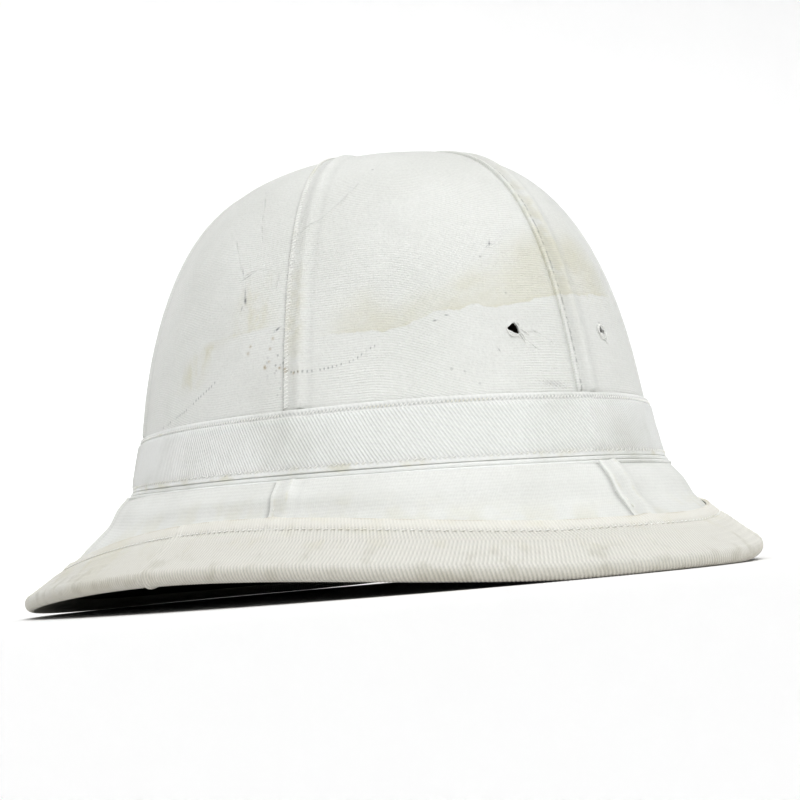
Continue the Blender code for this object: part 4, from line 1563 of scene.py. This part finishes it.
def add_stitches(name, slot, rows, material):
    """Stitches in one piece, from rows of their starts, ends and directions out of the surface"""
    starts, ends, normals = (np.concatenate(group)[:, None] for group in zip(*rows))
    shares, thick = np.array(STITCH_SECTIONS).T
    radius = STITCH_RADII[name]
    along = unit(ends - starts)
    up = np.cross(along, unit(np.cross(normals, along)))
    lift = (radius * 0.7 * (thick - 0.6))[:, None]
    centres = (starts + ends) / 2 + (ends - starts) * shares[:, None] + up * lift
    item = add_tubes(name, centres, radius * thick, along, normals, STITCH_SIDES, material)
    return finish_piece(item, slot)


def make_crown_stitches(material):
    """Slanting stitches over the folded edge of each crown seam but the front one"""
    low = run_at(climb_at(HATBAND_HEIGHT)) + CROWN_STITCH_START
    runs = np.arange(low, RUNS[-1] - CROWN_STITCH_STOP, CROWN_STITCH_PITCH)
    first, second = climb_at_run(runs), climb_at_run(runs + CROWN_STITCH_RISE)
    near_out = COVER_OUT + lap_relief(CROWN_STITCH_NEAR) + CROWN_STITCH_LIFTS[0]
    far_out = COVER_OUT + lap_relief(CROWN_STITCH_FAR) + CROWN_STITCH_LIFTS[1]
    rows = []
    for index in range(1, PANELS):
        seam = PANEL_ANGLE * index
        a = seam + CROWN_STITCH_NEAR / metric(seam, first)
        b = seam + CROWN_STITCH_FAR / metric(seam, second)
        normals = tip_forward(crown_normal(a, first))
        rows.append((crown_point(a, first, near_out), crown_point(b, second, far_out), normals))
    return add_stitches("crown_seam_stitches", "cover_cloth", rows, material)


def make_band_stitches(material):
    """Small stitches in the hatband's hem and along its lower edge"""
    angles, lengths = ring_columns(2 * RING_COLUMNS)
    angles = np.append(angles, angles[0] + 2 * math.pi)
    rows = []
    for pitch, height, rise, length, out in HATBAND_STITCH_ROWS:
        spots = np.arange(0.0, lengths[-1], pitch)
        a, b = np.interp(spots, lengths, angles), np.interp(spots + length, lengths, angles)
        low, high = climb_at(height), climb_at(height + rise)
        ends = (crown_point(a, low, BAND_IN + out), crown_point(b, high, BAND_IN + out))
        rows.append((*ends, tip_forward(crown_normal(a, low))))
    return add_stitches("hatband_stitches", "hatband_cloth", rows, material)


def make_binding_stitches(material):
    """Bright stitches in the sunk line of the binding"""
    sample = np.linspace(BINDING_JOINT, BINDING_JOINT + 2 * math.pi, SAMPLES)
    lengths = lengths_along(brim_face(sample, 1.0))
    spots = np.arange(BINDING_STITCH_START, lengths[-1], BINDING_STITCH_PITCH)
    out = NOSE_IN + tape_top(TAPE_STITCH) + BINDING_STITCH_LIFT
    ends = []
    for shift, place in ((0.0, TAPE_STITCH), (BINDING_STITCH, TAPE_STITCH - BINDING_STITCH_SLANT)):
        angles = np.interp(spots + shift, lengths, sample)
        shares = brim_shares(angles)[1] + place / brim_reach(angles)
        ends.append((brim_point(angles, shares, out), brim_normal(angles, shares)))
    rows = [(ends[0][0], ends[1][0], ends[0][1])]
    return add_stitches("binding_stitches", "binding_tape", rows, material)


def make_brim_stitches(material):
    """Stitches along the line beside each brim seam's folded edge"""
    out = COVER_OUT + lap_relief(STITCH_LINE) + BRIM_STITCH_LIFT
    rows = []
    for index in range(PANELS):
        seam = PANEL_ANGLE * index
        angle = seam + STITCH_LINE / metric(seam, 0.0)
        start, binding = brim_shares(angle)[:2]
        reach = brim_reach(angle)
        first, last = start + BRIM_STITCH_START / reach, binding - BRIM_STITCH_STOP / reach
        shares = np.arange(first, last, BRIM_STITCH_PITCH / reach)
        ends = (brim_point(angle, shares, out), brim_point(angle, shares + BRIM_STITCH / reach, out))
        rows.append((*ends, brim_normal(angle, shares)))
    return add_stitches("brim_seam_stitches", "cover_cloth", rows, material)


def make_leather_stitches(material):
    """Whip stitches round the sweatband's lower edge"""
    bare = LEATHER_STITCH_BARE
    angles = np.linspace(math.pi + bare, 3 * math.pi - bare, LEATHER_STITCHES)
    out = -PITH_WALL - GAP - LEATHER_STITCH_OUT
    low = crown_point(angles, climb_at(LEATHER_STITCH_FOOT), out)
    high = crown_point(angles + LEATHER_STITCH_SLANT, climb_at(LEATHER_STITCH_TOP), out)
    normals = -tip_forward(crown_normal(angles, climb_at(LEATHER_STITCH_MIDDLE)))
    return add_stitches("sweatband_stitches", "leather", [(low, high, normals)], material)


# Camera: azimuth in degrees, distances in metres
CAMERA_AZIMUTH = -33.0
CAMERA_DISTANCE = 0.500
CAMERA_HEIGHT = 0.0080
CAMERA_LENS = 58.5
CAMERA_ROLL = math.radians(-5.0)
CAMERA_AIM = (0.0117, -0.0116, 0.071)
CAMERA_NEAR = 0.005


def make_camera():
    """Camera at the photograph's side of the helmet, just above the floor"""
    turn = math.radians(CAMERA_AZIMUTH)
    data = bpy.data.cameras.new("camera")
    data.lens = CAMERA_LENS
    data.clip_start = CAMERA_NEAR
    item = add_object("camera", data)
    place = Vector((math.sin(turn), -math.cos(turn), 0.0)) * CAMERA_DISTANCE
    place.z = CAMERA_HEIGHT
    item.location = place
    aim = (Vector(CAMERA_AIM) - place).to_track_quat("-Z", "Y")
    item.rotation_euler = (aim.to_matrix() @ Matrix.Rotation(CAMERA_ROLL, 3, "Z")).to_euler()
    bpy.context.scene.camera = item


# Soft suns: azimuth and elevation in degrees, spread in degrees, and the share of full white they give
KEY_SUN = (-17.0, 42.0, 40.0, 0.465)
TOP_SUN = (-20.0, 84.0, 60.0, 0.445)
SKY_SHARE = 0.175
TONE_GAMMA = 0.75
BOWL_RADIUS = 3.0
BOWL_HEIGHT = 2.6
FLOOR_SEGMENTS = 96
FLOOR_BENDS = 16


def add_sun(name, azimuth, elevation, spread, share):
    """Soft parallel light from one side"""
    turn, tilt = math.radians(azimuth), math.radians(elevation)
    data = bpy.data.lights.new(name, "SUN")
    data.angle = math.radians(spread)
    data.energy = share * math.pi
    item = add_object(name, data)
    toward = Vector((math.sin(turn) * math.cos(tilt), -math.cos(turn) * math.cos(tilt), math.sin(tilt)))
    item.rotation_euler = toward.to_track_quat("Z", "Y").to_euler()


def make_stage(material):
    """Pale round floor that curves up into a backdrop all round, with soft suns and an even sky"""
    segments, bends = FLOOR_SEGMENTS, FLOOR_BENDS
    turns = 2 * math.pi * np.arange(segments) / segments
    section = [(0.5, 0.0), (BOWL_RADIUS, 0.0)]
    for k in range(1, bends + 1):
        bend = math.pi / 2 * k / bends
        section.append((BOWL_RADIUS + math.sin(bend), 1.0 - math.cos(bend)))
    section.append((BOWL_RADIUS + 1.0, BOWL_HEIGHT))
    points, faces = [(0.0, 0.0, 0.0)], []
    for radius, height in section:
        points.extend((radius * math.cos(t), radius * math.sin(t), height) for t in turns)
    for k in range(segments):
        following = (k + 1) % segments
        faces.append((0, 1 + k, 1 + following))
        for ring in range(len(section) - 1):
            low, high = 1 + ring * segments, 1 + (ring + 1) * segments
            faces.append((low + k, high + k, high + following, low + following))
    add_faces("floor", points, faces, material)
    world = bpy.data.worlds.new("sky")
    world.use_nodes = True
    sky = world.node_tree.nodes["Background"]
    sky.inputs["Color"].default_value = (1.0, 1.0, 1.0, 1.0)
    sky.inputs["Strength"].default_value = SKY_SHARE
    bpy.context.scene.world = world
    add_sun("key", *KEY_SUN)
    add_sun("top", *TOP_SUN)
    bpy.context.scene.view_settings.view_transform = "Standard"
    bpy.context.scene.view_settings.gamma = TONE_GAMMA


def main():
    """Build every piece of the helmet and the stage"""
    cover = crown_cloth()
    brim = brim_cloth()
    twill = band_twill()
    tape = binding_tape()
    thread = plain_thread()
    pith = bare_pith()
    double = 2 * RING_COLUMNS
    for index in range(PANELS):
        make_crown_panel(index, cover)
        make_brim_panel(index, brim)
    make_ring("hatband_twill", twill, "hatband", BAND_PROFILE, double, shape_band)
    make_ring("fold_upper", twill, "hatband_fold_upper", UPPER_FOLD_PROFILE, RING_COLUMNS, shape_fold)
    make_ring("fold_lower", twill, "hatband_fold_lower", LOWER_FOLD_PROFILE, RING_COLUMNS, shape_fold)
    halfway = BINDING_JOINT + math.pi
    make_binding("binding_front", BINDING_JOINT, halfway, True, tape, "edge_binding_front")
    make_binding("binding_back", halfway, halfway + math.pi, False, tape, "edge_binding_back")
    make_lining(lining_cloth())
    make_pith_crown(pith)
    make_pith_brim(pith)
    make_sweatband(band_leather())
    make_threads(thread)
    make_crown_stitches(thread)
    make_band_stitches(thread)
    make_brim_stitches(thread)
    make_binding_stitches(thread)
    make_leather_stitches(thread)
    make_camera()
    make_stage(pale_floor())


main()
